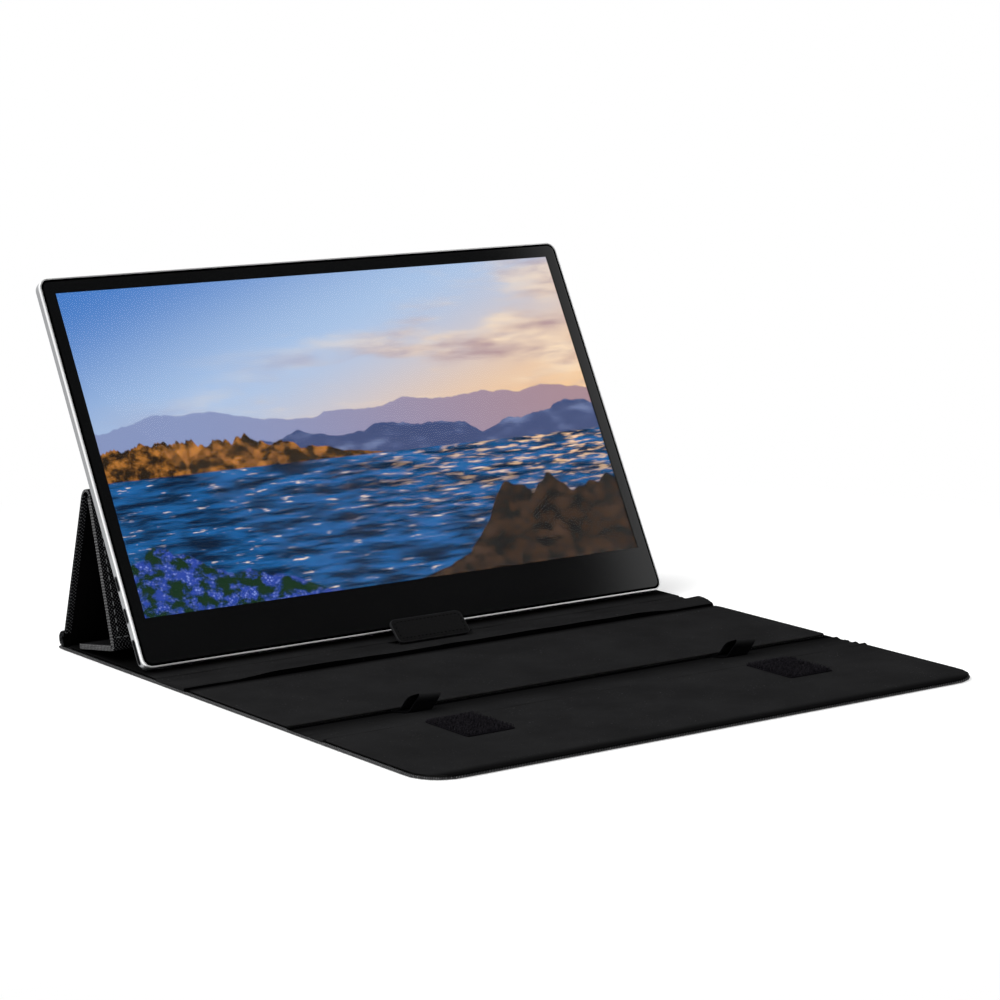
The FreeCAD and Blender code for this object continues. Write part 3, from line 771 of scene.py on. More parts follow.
def suede_finish(name, ground, fleck, painted_shade=None):
    """Short matte nap with mottling and a few pale specks, and painted shade between two lines where they are
    given
    """
    finish, nodes, shader = new_finish(name)
    nap = nodes.group(suede_nap, nodes.cloth(), Scale=1.0)
    shade = nodes.plus(nodes.times(nap["Mottle"], 0.5), nodes.times(nap["Height"], 0.5))
    base = nodes.mix(nodes.step(shade, 0.36, 0.64), toned(ground, 0.8), toned(ground, 1.2))
    base = nodes.mix(nap["Fleck"], base, fleck)
    # Painted shade: from the first line to the second the nap darkens to a third of its colour
    if painted_shade is not None:
        along = nodes.split(nodes.cloth())["Y"]
        base = nodes.mix(nodes.step(along, *painted_shade), base, toned(ground, 0.3))
    nodes.set(shader.inputs, {
        "Base Color": base,
        "Roughness": nodes.step(nap["Mottle"], 2.6, -1.2),
        "Specular IOR Level": 0.0,
        "Normal": nodes.bump(nap["Height"], 0.12 * MM),
    })
    return finish


def grained_finish(
    name, colour, roughness, metallic=0.0, scale=1.0, relief=0.02, spread=0.15, specular=0.5, cloth=False
):
    """Plain material with fine grain: colour, gloss and relief vary a little over the surface"""
    finish, nodes, shader = new_finish(name)
    grain = nodes.group(fine_grain, nodes.cloth() if cloth else nodes.object_space(), Scale=scale)
    vary = 0.08
    nodes.set(shader.inputs, {
        "Base Color": nodes.mix(grain["Speckle"], toned(colour, 1 - spread), toned(colour, 1 + spread)),
        "Roughness": nodes.spread(grain["Smudge"], max(0.02, roughness - vary), min(1.0, roughness + vary)),
        "Metallic": metallic,
        "Specular IOR Level": specular,
        "Normal": nodes.bump(grain["Height"], relief * MM),
    })
    return finish


def finish_of(name, maker, *values, **more):
    """A material by name, made once"""
    return bpy.data.materials.get(name) or maker(name, *values, **more)


def woven(context, part):
    """Woven cloth of the canvas, the hem, or the hem's darker copy for the front edge, which is painted shade"""
    colours = context.scene.cover_colours
    sizes = context.scene.cover_sizes
    pitch = sizes.weave_pitch * (1.0 if part == "canvas" else sizes.hem_pitch)
    name = "canvas_cloth" if part == "canvas" else "canvas_" + part
    gap = getattr(colours, part + "_gap")
    return finish_of(name, canvas_finish, pitch, gap, getattr(colours, part + "_thread"))


def inner_nap(context):
    """Dark suede inside the stand"""
    colours = context.scene.cover_colours
    return finish_of("inner_nap", suede_finish, colours.inner_suede, colours.flap_suede)


def table_nap(context, name, painted_shade):
    """Suede of a piece on the table, with the lines between which painted shade darkens it"""
    colours = context.scene.cover_colours
    return finish_of(name, suede_finish, colours.suede, colours.suede_fleck, painted_shade)


def rim_paint(middle, kind):
    """Material slot 1 along the edge, 0 elsewhere"""
    return 1 if kind == "rim" else 0


def lake_view(nodes, colours, corner, right, up):
    """Evening lake with hills, autumn trees, boulders and a bank of flowers, drawn from smooth masks"""
    mix = nodes.mix
    step = nodes.step
    times = nodes.times
    spot = nodes.add("VectorMath", {0: nodes.object_space(), 1: corner}, operation="SUBTRACT")[0]
    u, v = [
        nodes.add("VectorMath", {0: spot, 1: side}, operation="DOT_PRODUCT")["Value"] for side in (right, up)
    ]
    spot = nodes.add("CombineXYZ", {0: u, 1: v})[0]
    line = nodes.add("CombineXYZ", {0: u})[0]

    def skyline(scale, shift, low, height, detail):
        """Uneven level over the picture's width"""
        wave = nodes.noise(nodes.stretch(line, (1.0, 1.0, 1.0), (shift, 0.0, 0.0)), scale, detail)
        return nodes.plus(times(wave, height), low)

    def texture(across, along, shift, detail, roughness):
        """Uneven spots, so many across and along the picture"""
        return nodes.noise(nodes.stretch(spot, (across, along, 1.0), (*shift, 0.0)), 1.0, detail, roughness)

    def paint(view, level, softness, colour):
        """The picture with a colour below a level"""
        return mix(step(nodes.minus(level, v), 0.0, softness), view, colour)

    def within(value, softness=0.0005):
        """1 where a coordinate of the picture is between 0 and 1"""
        return times(step(value, -softness, softness), step(value, 1 + softness, 1 - softness))

    # Sky and clouds
    glow = nodes.plus(times(u, 0.62), times(nodes.minus(1.0, v), 0.95))
    sky = mix(step(glow, 0.0, 0.55), colours.sky_blue, colours.sky_pale)
    sky = mix(step(glow, 0.45, 1.05), sky, colours.sky_peach)
    billow = texture(2.6, 6.5, shift=(3.1, 0.7), detail=7.0, roughness=0.58)
    cover = times(step(billow, 0.47, 0.66), step(glow, 0.3, 0.8))
    shade = texture(3.5, 9.0, shift=(1.4, 2.2), detail=6.0, roughness=0.6)
    cloud = mix(step(shade, 0.35, 0.6), colours.cloud_shade, colours.cloud_light)
    view = mix(times(cover, 0.85), sky, cloud)

    # Hills and trees
    far = skyline(3.4, shift=5.3, low=0.44, height=0.26, detail=5.0)
    haze = mix(step(u, 0.1, 1.1), colours.far_hills, colours.cloud_shade)
    view = paint(view, far, 0.006, haze)
    near = skyline(5.2, shift=9.7, low=0.36, height=0.25, detail=6.0)
    slopes = texture(14.0, 22.0, shift=(0.0, 0.0), detail=6.0, roughness=0.6)
    hills = mix(step(slopes, 0.48, 0.85), colours.near_hills, colours.far_hills)
    view = paint(view, near, 0.004, hills)
    trees = skyline(26.0, shift=2.4, low=0.02, height=0.17, detail=4.0)
    trees = nodes.plus(times(trees, step(u, 0.62, 0.18)), 0.405)
    crowns = texture(30.0, 20.0, shift=(2.0, 0.0), detail=5.0, roughness=0.65)
    leaves = mix(step(crowns, 0.42, 0.68), colours.leaf_dark, colours.leaf_warm)
    view = paint(view, trees, 0.006, leaves)

    # Water
    swell = texture(9.0, 34.0, shift=(0.3, 0.9), detail=5.0, roughness=0.62)
    ripple = texture(24.0, 90.0, shift=(4.0, 0.2), detail=4.0, roughness=0.6)
    water = mix(step(swell, 0.36, 0.66), colours.water_deep, colours.water_blue)
    warm = times(step(ripple, 0.5, 0.62), step(u, 0.3, 1.0))
    water = mix(times(warm, step(v, 0.1, 0.42)), water, colours.sky_peach)
    spark = times(step(ripple, 0.6, 0.67), step(swell, 0.42, 0.6))
    water = mix(spark, water, colours.glint)
    view = mix(step(v, 0.412, 0.406), view, water)

    # Boulders and flowers
    boulders = skyline(5.5, shift=1.3, low=-0.06, height=0.62, detail=3.0)
    facets = texture(30.0, 20.0, shift=(0.0, 3.0), detail=9.0, roughness=0.72)
    rocks = mix(step(facets, 0.42, 0.66), colours.rock, colours.rock_lit)
    view = paint(view, times(boulders, step(u, 0.5, 0.86)), 0.008, rocks)
    bank = skyline(9.0, shift=6.1, low=0.02, height=0.3, detail=5.0)
    clumps = texture(34.0, 26.0, shift=(0.0, 1.7), detail=5.0, roughness=0.62)
    blooms = nodes.add("TexVoronoi", {"Vector": nodes.stretch(spot, (1.78, 1.15, 1.0)), "Scale": 105.0})
    petals = step(blooms["Distance"], 0.55, 0.15)
    meadow = mix(step(clumps, 0.44, 0.58), colours.leaf_green, colours.flower)
    meadow = mix(times(step(clumps, 0.45, 0.68), petals), meadow, colours.flower_lit)
    view = paint(view, times(bank, step(u, 0.44, 0.06)), 0.012, meadow)
    return mix(times(within(u), within(v)), BLACK[:3], view)


# Pieces
class MakeStage(bpy.types.Operator):
    """Floor, backdrop light, lamps and camera"""

    bl_idname = "cover_monitor.make_stage"
    bl_label = "Stage"

    # Each lamp's place and width, and the spot that they shine on, in metres
    lamps = (
        ("key_lamp", (-1.7, 0.5, 2.2), 1.6),
        ("fill_lamp", (2.0, -1.0, 1.8), 1.8),
        ("rear_lamp", (-1.2, 1.9, 2.0), 1.6),
    )
    lamp_target = (0.0, 0.05, 0.06)
    # The card's half sides, where it is seen from, its bearing and distance, and where it turns pale
    card_half = (0.9, 0.8)
    card_target = (0.0, 0.13, 0.11)
    card_towards = (0.583, -0.573, 0.573)
    card_across = (0.7, 0.71, 0.0)
    card_distance = 1.1
    card_slant = 0.43
    card_edge = (0.135, 0.215)

    def execute(self, context):
        look = context.scene.stage_look
        context.scene.view_settings.view_transform = "Standard"
        self.make_world(context, look)
        self.make_floor(look)
        self.make_card(look)
        for name, place, size in self.lamps:
            self.make_lamp(name, place, size, look.key_power if name == "key_lamp" else look.fill_power)
        camera = bpy.data.objects.new("camera", bpy.data.cameras.new("camera"))
        camera.location = look.camera_place
        camera.rotation_euler = look.camera_turn
        camera.data.lens = look.lens
        camera.data.sensor_width = look.sensor
        camera.data.clip_start = look.nearest
        context.scene.collection.objects.link(camera)
        context.scene.camera = camera
        return {"FINISHED"}

    def make_world(self, context, look):
        world = bpy.data.worlds.new("studio")
        world.use_nodes = True
        world.node_tree.nodes.clear()
        nodes = Nodes(world.node_tree)
        light = nodes.add("Background", {"Color": WHITE, "Strength": look.sky_light})[0]
        white = nodes.add("Background", {"Color": WHITE, "Strength": 1.0})[0]
        nodes.add("OutputWorld", {"Surface": nodes.mix_shaders(nodes.seen_directly(), light, white)})
        context.scene.world = world

    def make_floor(self, look):
        """Pale floor that keeps the shadow and fades to white round it"""
        finish, nodes, shader = new_finish("pale_floor")
        seen = nodes.seen_directly()
        shade = nodes.noise(nodes.object_space(), 3.0)
        nodes.set(shader.inputs, {
            "Base Color": nodes.mix(shade, look.floor, toned(look.floor, 1.02)),
            "Roughness": 0.9,
            "Specular IOR Level": 0.0,
            "Emission Color": WHITE,
            "Emission Strength": nodes.times(seen, look.floor_glow),
        })
        reach = nodes.add("VectorMath", {0: nodes.object_space()}, operation="LENGTH")["Value"]
        far = nodes.times(seen, nodes.step(reach, look.shadow_reach, 2 * look.shadow_reach))
        white = nodes.add("Emission", {"Color": WHITE, "Strength": 1.0})[0]
        shown = nodes.mix_shaders(far, shader.outputs[0], white)
        nodes.set(nodes.tree.nodes["Material Output"].inputs, {"Surface": shown})
        half = look.floor_size / 2
        finished_object("floor", rectangle(half, half), [finish])

    def make_card(self, look):
        """Soft card that only the glossy glass mirrors, dark on one side and pale on the other"""
        finish, nodes, shader = new_finish("reflected_card")
        split = nodes.split(nodes.object_space())
        slant = nodes.minus(split["X"], nodes.times(split["Y"], self.card_slant))
        rise = nodes.times(nodes.step(slant, *self.card_edge), look.card_bright)
        nodes.set(shader.inputs, {
            "Base Color": BLACK,
            "Specular IOR Level": 0.0,
            "Emission Color": WHITE,
            "Emission Strength": nodes.plus(rise, look.card_dark),
        })
        card = finished_object("reflected_card", rectangle(*self.card_half), [finish])
        towards = Vector(self.card_towards).normalized()
        upward = towards.cross(Vector(self.card_across).normalized()).normalized()
        across = upward.cross(towards).normalized()
        turn = Matrix((across, upward, towards)).transposed().to_4x4()
        card.matrix_world = Matrix.Translation(Vector(self.card_target) + towards * self.card_distance) @ turn
        card.visible_camera = False
        card.visible_diffuse = False
        card.visible_shadow = False
        card.visible_transmission = False

    def make_lamp(self, name, place, size, power):
        lamp = bpy.data.lights.new(name, "AREA")
        lamp.energy = power
        lamp.size = size
        made = bpy.data.objects.new(name, lamp)
        made.location = place
        aim = Vector(self.lamp_target) - Vector(place)
        made.rotation_euler = aim.to_track_quat("-Z", "Y").to_euler()
        bpy.context.scene.collection.objects.link(made)


class MakeFolds(bpy.types.Operator):
    """Soft folds between the panels on the table"""

    bl_idname = "cover_monitor.make_folds"
    bl_label = "Table folds"

    lump: length_property("Lump", "Height of the first fold's lumps", 0.35)
    swell: length_property("Swell", "How much the first fold rises at its right end", 1.7)
    slack: length_property("Slack", "How much the first fold sinks by its groove, towards the ends", 1.3)
    ridge: length_property("Ridge", "Height of the crease along the second fold", 0.3)
    wrinkle: length_property("Wrinkle", "Height of the second fold's wrinkles", 0.4)
    tab_run: length_property("Tab run", "Where the folded tab ends over the first fold", 11.5)
    tab_room: length_property("Tab room", "Height free before the end of the folded tab", 6.0)
    tab_fade: length_property("Tab fade", "Width beside the tab where the fold rises again", 3.0)
    tab_height: length_property("Tab height", "Height free under the end of the folded tab", 3.6)
    tab_end: length_property("Tab end", "Where that height starts to fall", 12.5)
    tab_slope: number_property("Tab slope", "How fast that height falls towards the tab's root", 0.19)
    tab_least: length_property("Tab least", "Least height free under the folded tab", 1.12)

    def execute(self, context):
        self.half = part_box("base_skin")[1].x
        self.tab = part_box("tab_leather")
        self.first_fold(context)
        self.second_fold(context)
        return {"FINISHED"}

    def make_pair(self, context, name, leaves, bodies, top, groove, step_across, painted_shade=None, fine=()):
        """Woven strip with a suede strip on it, lying on the table between two panels; bodies is not used"""
        sizes = context.scene.cover_sizes
        colours = context.scene.cover_colours
        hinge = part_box(leaves[0])[0].y
        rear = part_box(leaves[0])[1].y
        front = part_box(leaves[1])[0].y
        place = flat_place(Matrix.Identity(4))

        # Painted shade: faces in the groove take the near-black crease suede
        def crease_paint(middle, kind):
            low, high = groove(middle[0])
            return 1 if low < middle[1] < high else 0

        def hem_top(across, along):
            return sizes.hem_height if self.half - abs(across) < sizes.fold_hem else sizes.skin_thickness

        nap = table_nap(context, name + "_fold_nap", painted_shade)
        # Near-black suede of the groove's faces: painted shade
        dark = finish_of("dark_crease", suede_finish, colours.crease, colours.suede)
        skin = plate_mesh(
            name + "_fold_cloth", self.half, front, rear, hem_top, level(sizes.table_gap), place,
            [woven(context, "canvas"), woven(context, "hem")], edge=0.3 * MM, rim=sizes.fold_hem - PLAY,
            free="sides", paint=rim_paint, step=1.6 * MM, step_across=12 * MM,
            extra_across=inset_lines(-self.half, self.half, [sizes.fold_hem + 0.05 * MM]),
        )
        soft = plate_mesh(
            name + "_fold_suede", self.half - sizes.fold_inset, front, rear, top,
            level(sizes.skin_thickness + PLAY), place, [nap, dark], edge=0.6 * MM, free="sides",
            paint=crease_paint, step=0.7 * MM, step_across=step_across, extra_along=fine,
        )
        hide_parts(*leaves)
        for piece, slot in ((skin, "woven_canvas"), (soft, "suede_lining")):
            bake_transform(piece)
            [leaf.split("_")[0] + "_cloth" for leaf in leaves]

    def first_fold(self, context):
        """Low by the base, then a broad soft hump that drops into a groove before the middle panel"""
        sizes = context.scene.cover_sizes
        low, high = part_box("middle_rear_leaf")
        front = low.y
        crest = high.z
        profile = (
            (0.0, 1.2 * MM), (1.7 * MM, 1.25 * MM), (2.4 * MM, 3.4 * MM), (3.6 * MM, crest),
            (6.5 * MM, crest + 0.4 * MM), (10.0 * MM, crest), (14.0 * MM, crest - 0.55 * MM),
            (24.0 * MM, 2.3 * MM), (29.0 * MM, 1.9 * MM), (32.0 * MM, 2.3 * MM),
        )

        def fullness(across):
            """How much the hump hangs over its groove: least at the ends, wavering between them"""
            waver = 0.25 * lumpy(across, 0.4, waves_across=55, waves_along=1, seed=8.3)
            inside = max(0.0, min(0.55, 3.0 - 3.6 * abs(across) / self.half))
            return 0.45 + inside * (0.8 + waver)

        def top(across, along):
            run = along - front
            crumple = uneven(sizes, across * 1.6, along * 2.0, seed=3.7)
            lump = self.lump * lumpy(across, along, waves_across=42, waves_along=90, seed=1.7)
            fade = min(1.0, run / (3 * MM))
            right_end = max(0.0, across / self.half - 0.7) / 0.3
            swell = self.swell * right_end * bell(run / MM, middle=15.5, width=6.5)
            slack = self.slack * (1 - fullness(across)) * bell(run / MM, middle=4.0, width=3.5)
            height = profile_height(profile, run) + fade * (crumple + lump) + swell - slack
            return height - self.pressed(across) * max(0.0, height - self.room_under_tab(run))

        self.make_pair(
            context, "first", ("base_fold_leaf", "middle_rear_leaf"), ("base_panel", "middle_panel"), top,
            lambda across: (front, front + (2.2 + 1.4 * fullness(across)) * MM), 3 * MM,
            fine=[front + (2.6 + 0.1 * index) * MM for index in range(11)],
        )

    def pressed(self, across):
        """1 where the tab folds down on the fold, 0 beside it"""
        low, high = self.tab
        beyond = abs(across - (low.x + high.x) / 2) - (high.x - low.x) / 2
        return max(0.0, min(1.0, 1.3 - beyond / self.tab_fade))

    def room_under_tab(self, run):
        """Height that the folded tab leaves free, at a distance from the fold's front"""
        if run < self.tab_run:
            return self.tab_room
        return max(self.tab_least, self.tab_height - self.tab_slope * (run - self.tab_end))

    def second_fold(self, context):
        """Thin wrinkled cloth that starts in a groove under the middle panel's edge"""
        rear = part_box("middle_front_leaf")[1].y
        profile = (
            (0.0, 1.1 * MM), (2.8 * MM, 1.12 * MM), (5.0 * MM, 1.7 * MM), (18.0 * MM, 1.75 * MM),
            (27.0 * MM, 2.0 * MM), (34.0 * MM, 2.7 * MM),
        )

        def top(across, along):
            run = rear - along
            wrinkle = rough(across * 9 + along * 24, along * 125, 2.9)
            ends = max(0.0, abs(across) / self.half - 0.84) / 0.16
            fade = min(1.0, run / (4 * MM))
            ridge = self.ridge * bell(run / MM, middle=12.5 + 1.5 * wrinkle, width=1.4)
            lumps = MM * ends * (0.2 + 0.65 * math.sin(run / (1.2 * MM) + 2.2 * wrinkle))
            return profile_height(profile, run) + ridge + fade * (self.wrinkle * wrinkle + lumps)

        # Painted shade: the nap darkens towards the groove under the middle panel's edge
        self.make_pair(
            context, "second", ("middle_front_leaf", "front_fold_leaf"), ("middle_panel", "front_panel"), top,
            lambda across: (rear - 3.4 * MM, rear), 3.5 * MM, (rear - 28 * MM, rear - 2 * MM),
        )


class MakeStandFolds(bpy.types.Operator):
    """Bent cloth at the spine, the apex and the foot of the stand"""

    bl_idname = "cover_monitor.make_stand_folds"
    bl_label = "Stand folds"

    spine_start: number_property("Spine start", "Bearing of the spine roll's start", -1.75, subtype="ANGLE")
    wrinkle: length_property("Wrinkle", "Depth of the bent cloth's wrinkles", 0.3)
    side_hem: length_property("Side hem", "Width of the hem at the sides", 1.0)

    def execute(self, context):
        sizes = context.scene.cover_sizes
        stand = stand_lines(sizes)
        rear = stand.rear_lean
        front = math.pi - stand.front_lean
        flap = 1.5 * math.pi - stand.flap_slope
        leg = rear + math.pi / 2
        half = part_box("apex_fold")[1].x
        for hub, node, radius, start, stop, bodies in (
            ("apex", "apex_fold", sizes.apex_radius, rear, front, ("rear_leg", "front_leg")),
            ("foot", "foot_fold", sizes.foot_radius, front, flap, ("front_leg", "foot_flap")),
            ("spine", "spine_roll", sizes.spine_radius, self.spine_start, leg, ("base_panel", "rear_leg")),
        ):
            place = ring_place(getattr(stand, hub), radius, start)
            length = radius * (stop - start)
            depth = sizes.spine_depth if hub == "spine" else sizes.fold_thickness
            edging = "canvas" if hub == "spine" else "hem"
            finishes = [woven(context, "canvas"), woven(context, edging), inner_nap(context)]
            fold = self.bend(hub + "_cloth", half, length, depth, radius, place, finishes)
            begin = place(0.0, 0.0, depth / 2)
            finish = place(0.0, length, depth / 2)
            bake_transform(fold)
            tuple(begin)
            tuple(finish)
            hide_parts(node)
        return {"FINISHED"}

    def bend(self, name, half, length, depth, radius, place, finishes):
        """Bent strip: suede inside, canvas outside, hem at the sides"""

        def bottom(across, along):
            lump = lumpy(across, along, waves_across=30, waves_along=260, seed=radius * 900)
            return self.wrinkle * abs(lump)

        def paint(middle, kind):
            if kind == "rim":
                return 1 if half - abs(middle[0]) < self.side_hem else 2
            return 0 if kind == "bottom" else 2

        return plate_mesh(
            name, half, 0.0, length, level(depth), bottom, place, finishes, edge=0.5 * MM,
            free="sides", paint=paint, step=0.8 * MM, step_across=6 * MM,
        )


class SewCover(bpy.types.Operator):
    """Seams along the edges of the woven skins"""

    bl_idname = "cover_monitor.sew_cover"
    bl_label = "Seams"

    def execute(self, context):
        sizes = context.scene.cover_sizes
        colour = context.scene.cover_colours.thread
        thread = finish_of("seam_thread", grained_finish, colour, 0.75, scale=2.0, relief=0.03, specular=0.1)
        inset = sizes.stitch_inset
        for panel in cover_panels(sizes):
            build = bmesh.new()
            place = flat_place(panel.matrix)
            corners = [max(0.0, corner - inset) for corner in (panel.front_corner, panel.rear_corner)]
            spots = outline_spots(
                panel.half - inset, panel.start + inset, panel.end - inset, *corners, sizes.stitch_pitch
            )
            up = panel.lift + sizes.stitch_lift
            for spot, direction in spots:
                add_stitch(build, place, spot, direction, up, sizes.stitch_length, sizes.stitch_radius)
            seam = finished_object(panel.name + "_seam", build, [thread])
            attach(seam, panel.body)
        return {"FINISHED"}


class MakeSkins(bpy.types.Operator):
    """Woven outer cloth of the six cover panels"""

    bl_idname = "cover_monitor.make_skins"
    bl_label = "Woven skins"

    def execute(self, context):
        sizes = context.scene.cover_sizes
        finishes = [woven(context, part) for part in ("canvas", "hem", "front_hem")]
        for seed, panel in enumerate(cover_panels(sizes)):
            dark_edge = panel.name == "rear_leg"
            skin = self.weave(sizes, panel, seed, [finishes[0]] * 2 if dark_edge else finishes)
            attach(skin, panel.body)
            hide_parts(panel.name + "_skin")
        return {"FINISHED"}

    def weave(self, sizes, panel, seed, finishes):
        """One skin, thicker where its edge is turned in"""
        on_table = panel.lift > 0
        rise = sizes.hem_height if on_table else sizes.wrap_height
        width = sizes.hem_width if on_table else sizes.wrap_width

        def top(across, along):
            distance = edge_distance(panel, across, along) if on_table else panel.half - abs(across)
            return rise if distance < width else sizes.skin_thickness

        def bottom(across, along):
            ripple = 0.3 * abs(uneven(sizes, across, along, seed + 0.4))
            return panel.lift + ripple if on_table else 0.0

        def hem_paint(middle, kind):
            if kind != "rim":
                return 0
            # Rim faces at the front edge and its corners take the darker hem: painted shade
            return 1 if middle[1] > panel.start + panel.front_corner else 2

        turn_in = (width - PLAY, width + PLAY)
        return plate_mesh(
            panel.name + "_cloth", panel.half, panel.start, panel.end, top, bottom, flat_place(panel.matrix),
            finishes, edge=0.32 * MM, free=panel.free, paint=hem_paint if on_table else rim_paint,
            rim=width - PLAY if on_table else 0.15 * MM, step=8 * MM,
            extra_across=inset_lines(-panel.half, panel.half, turn_in),
            extra_along=inset_lines(panel.start, panel.end, turn_in),
            front_corner=panel.front_corner, rear_corner=panel.rear_corner,
        )


class MakeLinings(bpy.types.Operator):
    """Suede lining of the six cover panels, turned down round the boards"""

    bl_idname = "cover_monitor.make_linings"
    bl_label = "Suede linings"

    fade: length_property("Fade", "Distance from the edge where the unevenness starts", 8.0)
    dip_reach: length_property("Dip reach", "How far the middle lining bends down at its rear edge", 7.0)
    dip_depth: length_property("Dip depth", "How much it bends down there", 0.3)

    def execute(self, context):
        sizes = context.scene.cover_sizes
        colours = context.scene.cover_colours
        finishes = {"rear_leg": inner_nap(context), "front_leg": inner_nap(context)}
        finishes["flap"] = finish_of("flap_nap", suede_finish, colours.flap_suede, colours.suede)
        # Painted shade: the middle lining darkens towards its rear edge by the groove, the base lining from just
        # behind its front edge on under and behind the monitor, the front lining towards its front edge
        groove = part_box("middle_lining")[1].y
        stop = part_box("base_lining")[0].y
        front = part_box("front_lining")[0].y
        for name, painted_shade in (
            ("middle", (groove - 8 * MM, groove - 1 * MM)),
            ("base", (stop + 3 * MM, stop + 13 * MM)),
            ("front", (front + 9 * MM, front + 1 * MM)),
        ):
            finishes[name] = table_nap(context, name + "_nap", painted_shade)
        for seed, panel in enumerate(cover_panels(sizes)):
            half = panel.half - sizes.lining_inset
            lining = self.line(sizes, panel, half, seed, finishes[panel.name])
            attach(lining, panel.body)
            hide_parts(panel.name + "_lining")
        return {"FINISHED"}

    def line(self, sizes, panel, half, seed, finish):
        """One lining with its lip"""
        start = panel.lined_from
        end = panel.lined_to
        lip = sizes.lining_lip if panel.lift else sizes.board_top
        dip_depth = self.dip_depth if panel.name == "middle" else 0.0

        def inward(across, along):
            return min(half - abs(across), along - start, end - along)

        def top(across, along):
            fade = max(0.0, min(1.0, inward(across, along) / self.fade))
            dip = dip_depth * max(0.0, 1 - (end - along) / self.dip_reach) ** 2
            return sizes.panel_thickness - sizes.puff - dip + fade * uneven(sizes, across, along, seed + 7.3)

        def bottom(across, along):
            return lip if inward(across, along) < sizes.lip_width else sizes.board_top

        turn_in = (sizes.lip_width - 0.02 * MM, sizes.lip_width + 0.05 * MM)
        return plate_mesh(
            panel.name + "_suede", half, start, end, top, bottom, flat_place(panel.matrix), [finish],
            edge=0.65 * MM, step=7 * MM, extra_across=inset_lines(-half, half, turn_in),
            extra_along=inset_lines(start, end, turn_in),
            front_corner=max(sizes.lining_corner, panel.front_corner - sizes.lining_inset),
            rear_corner=max(sizes.lining_corner, panel.rear_corner - sizes.lining_inset),
        )


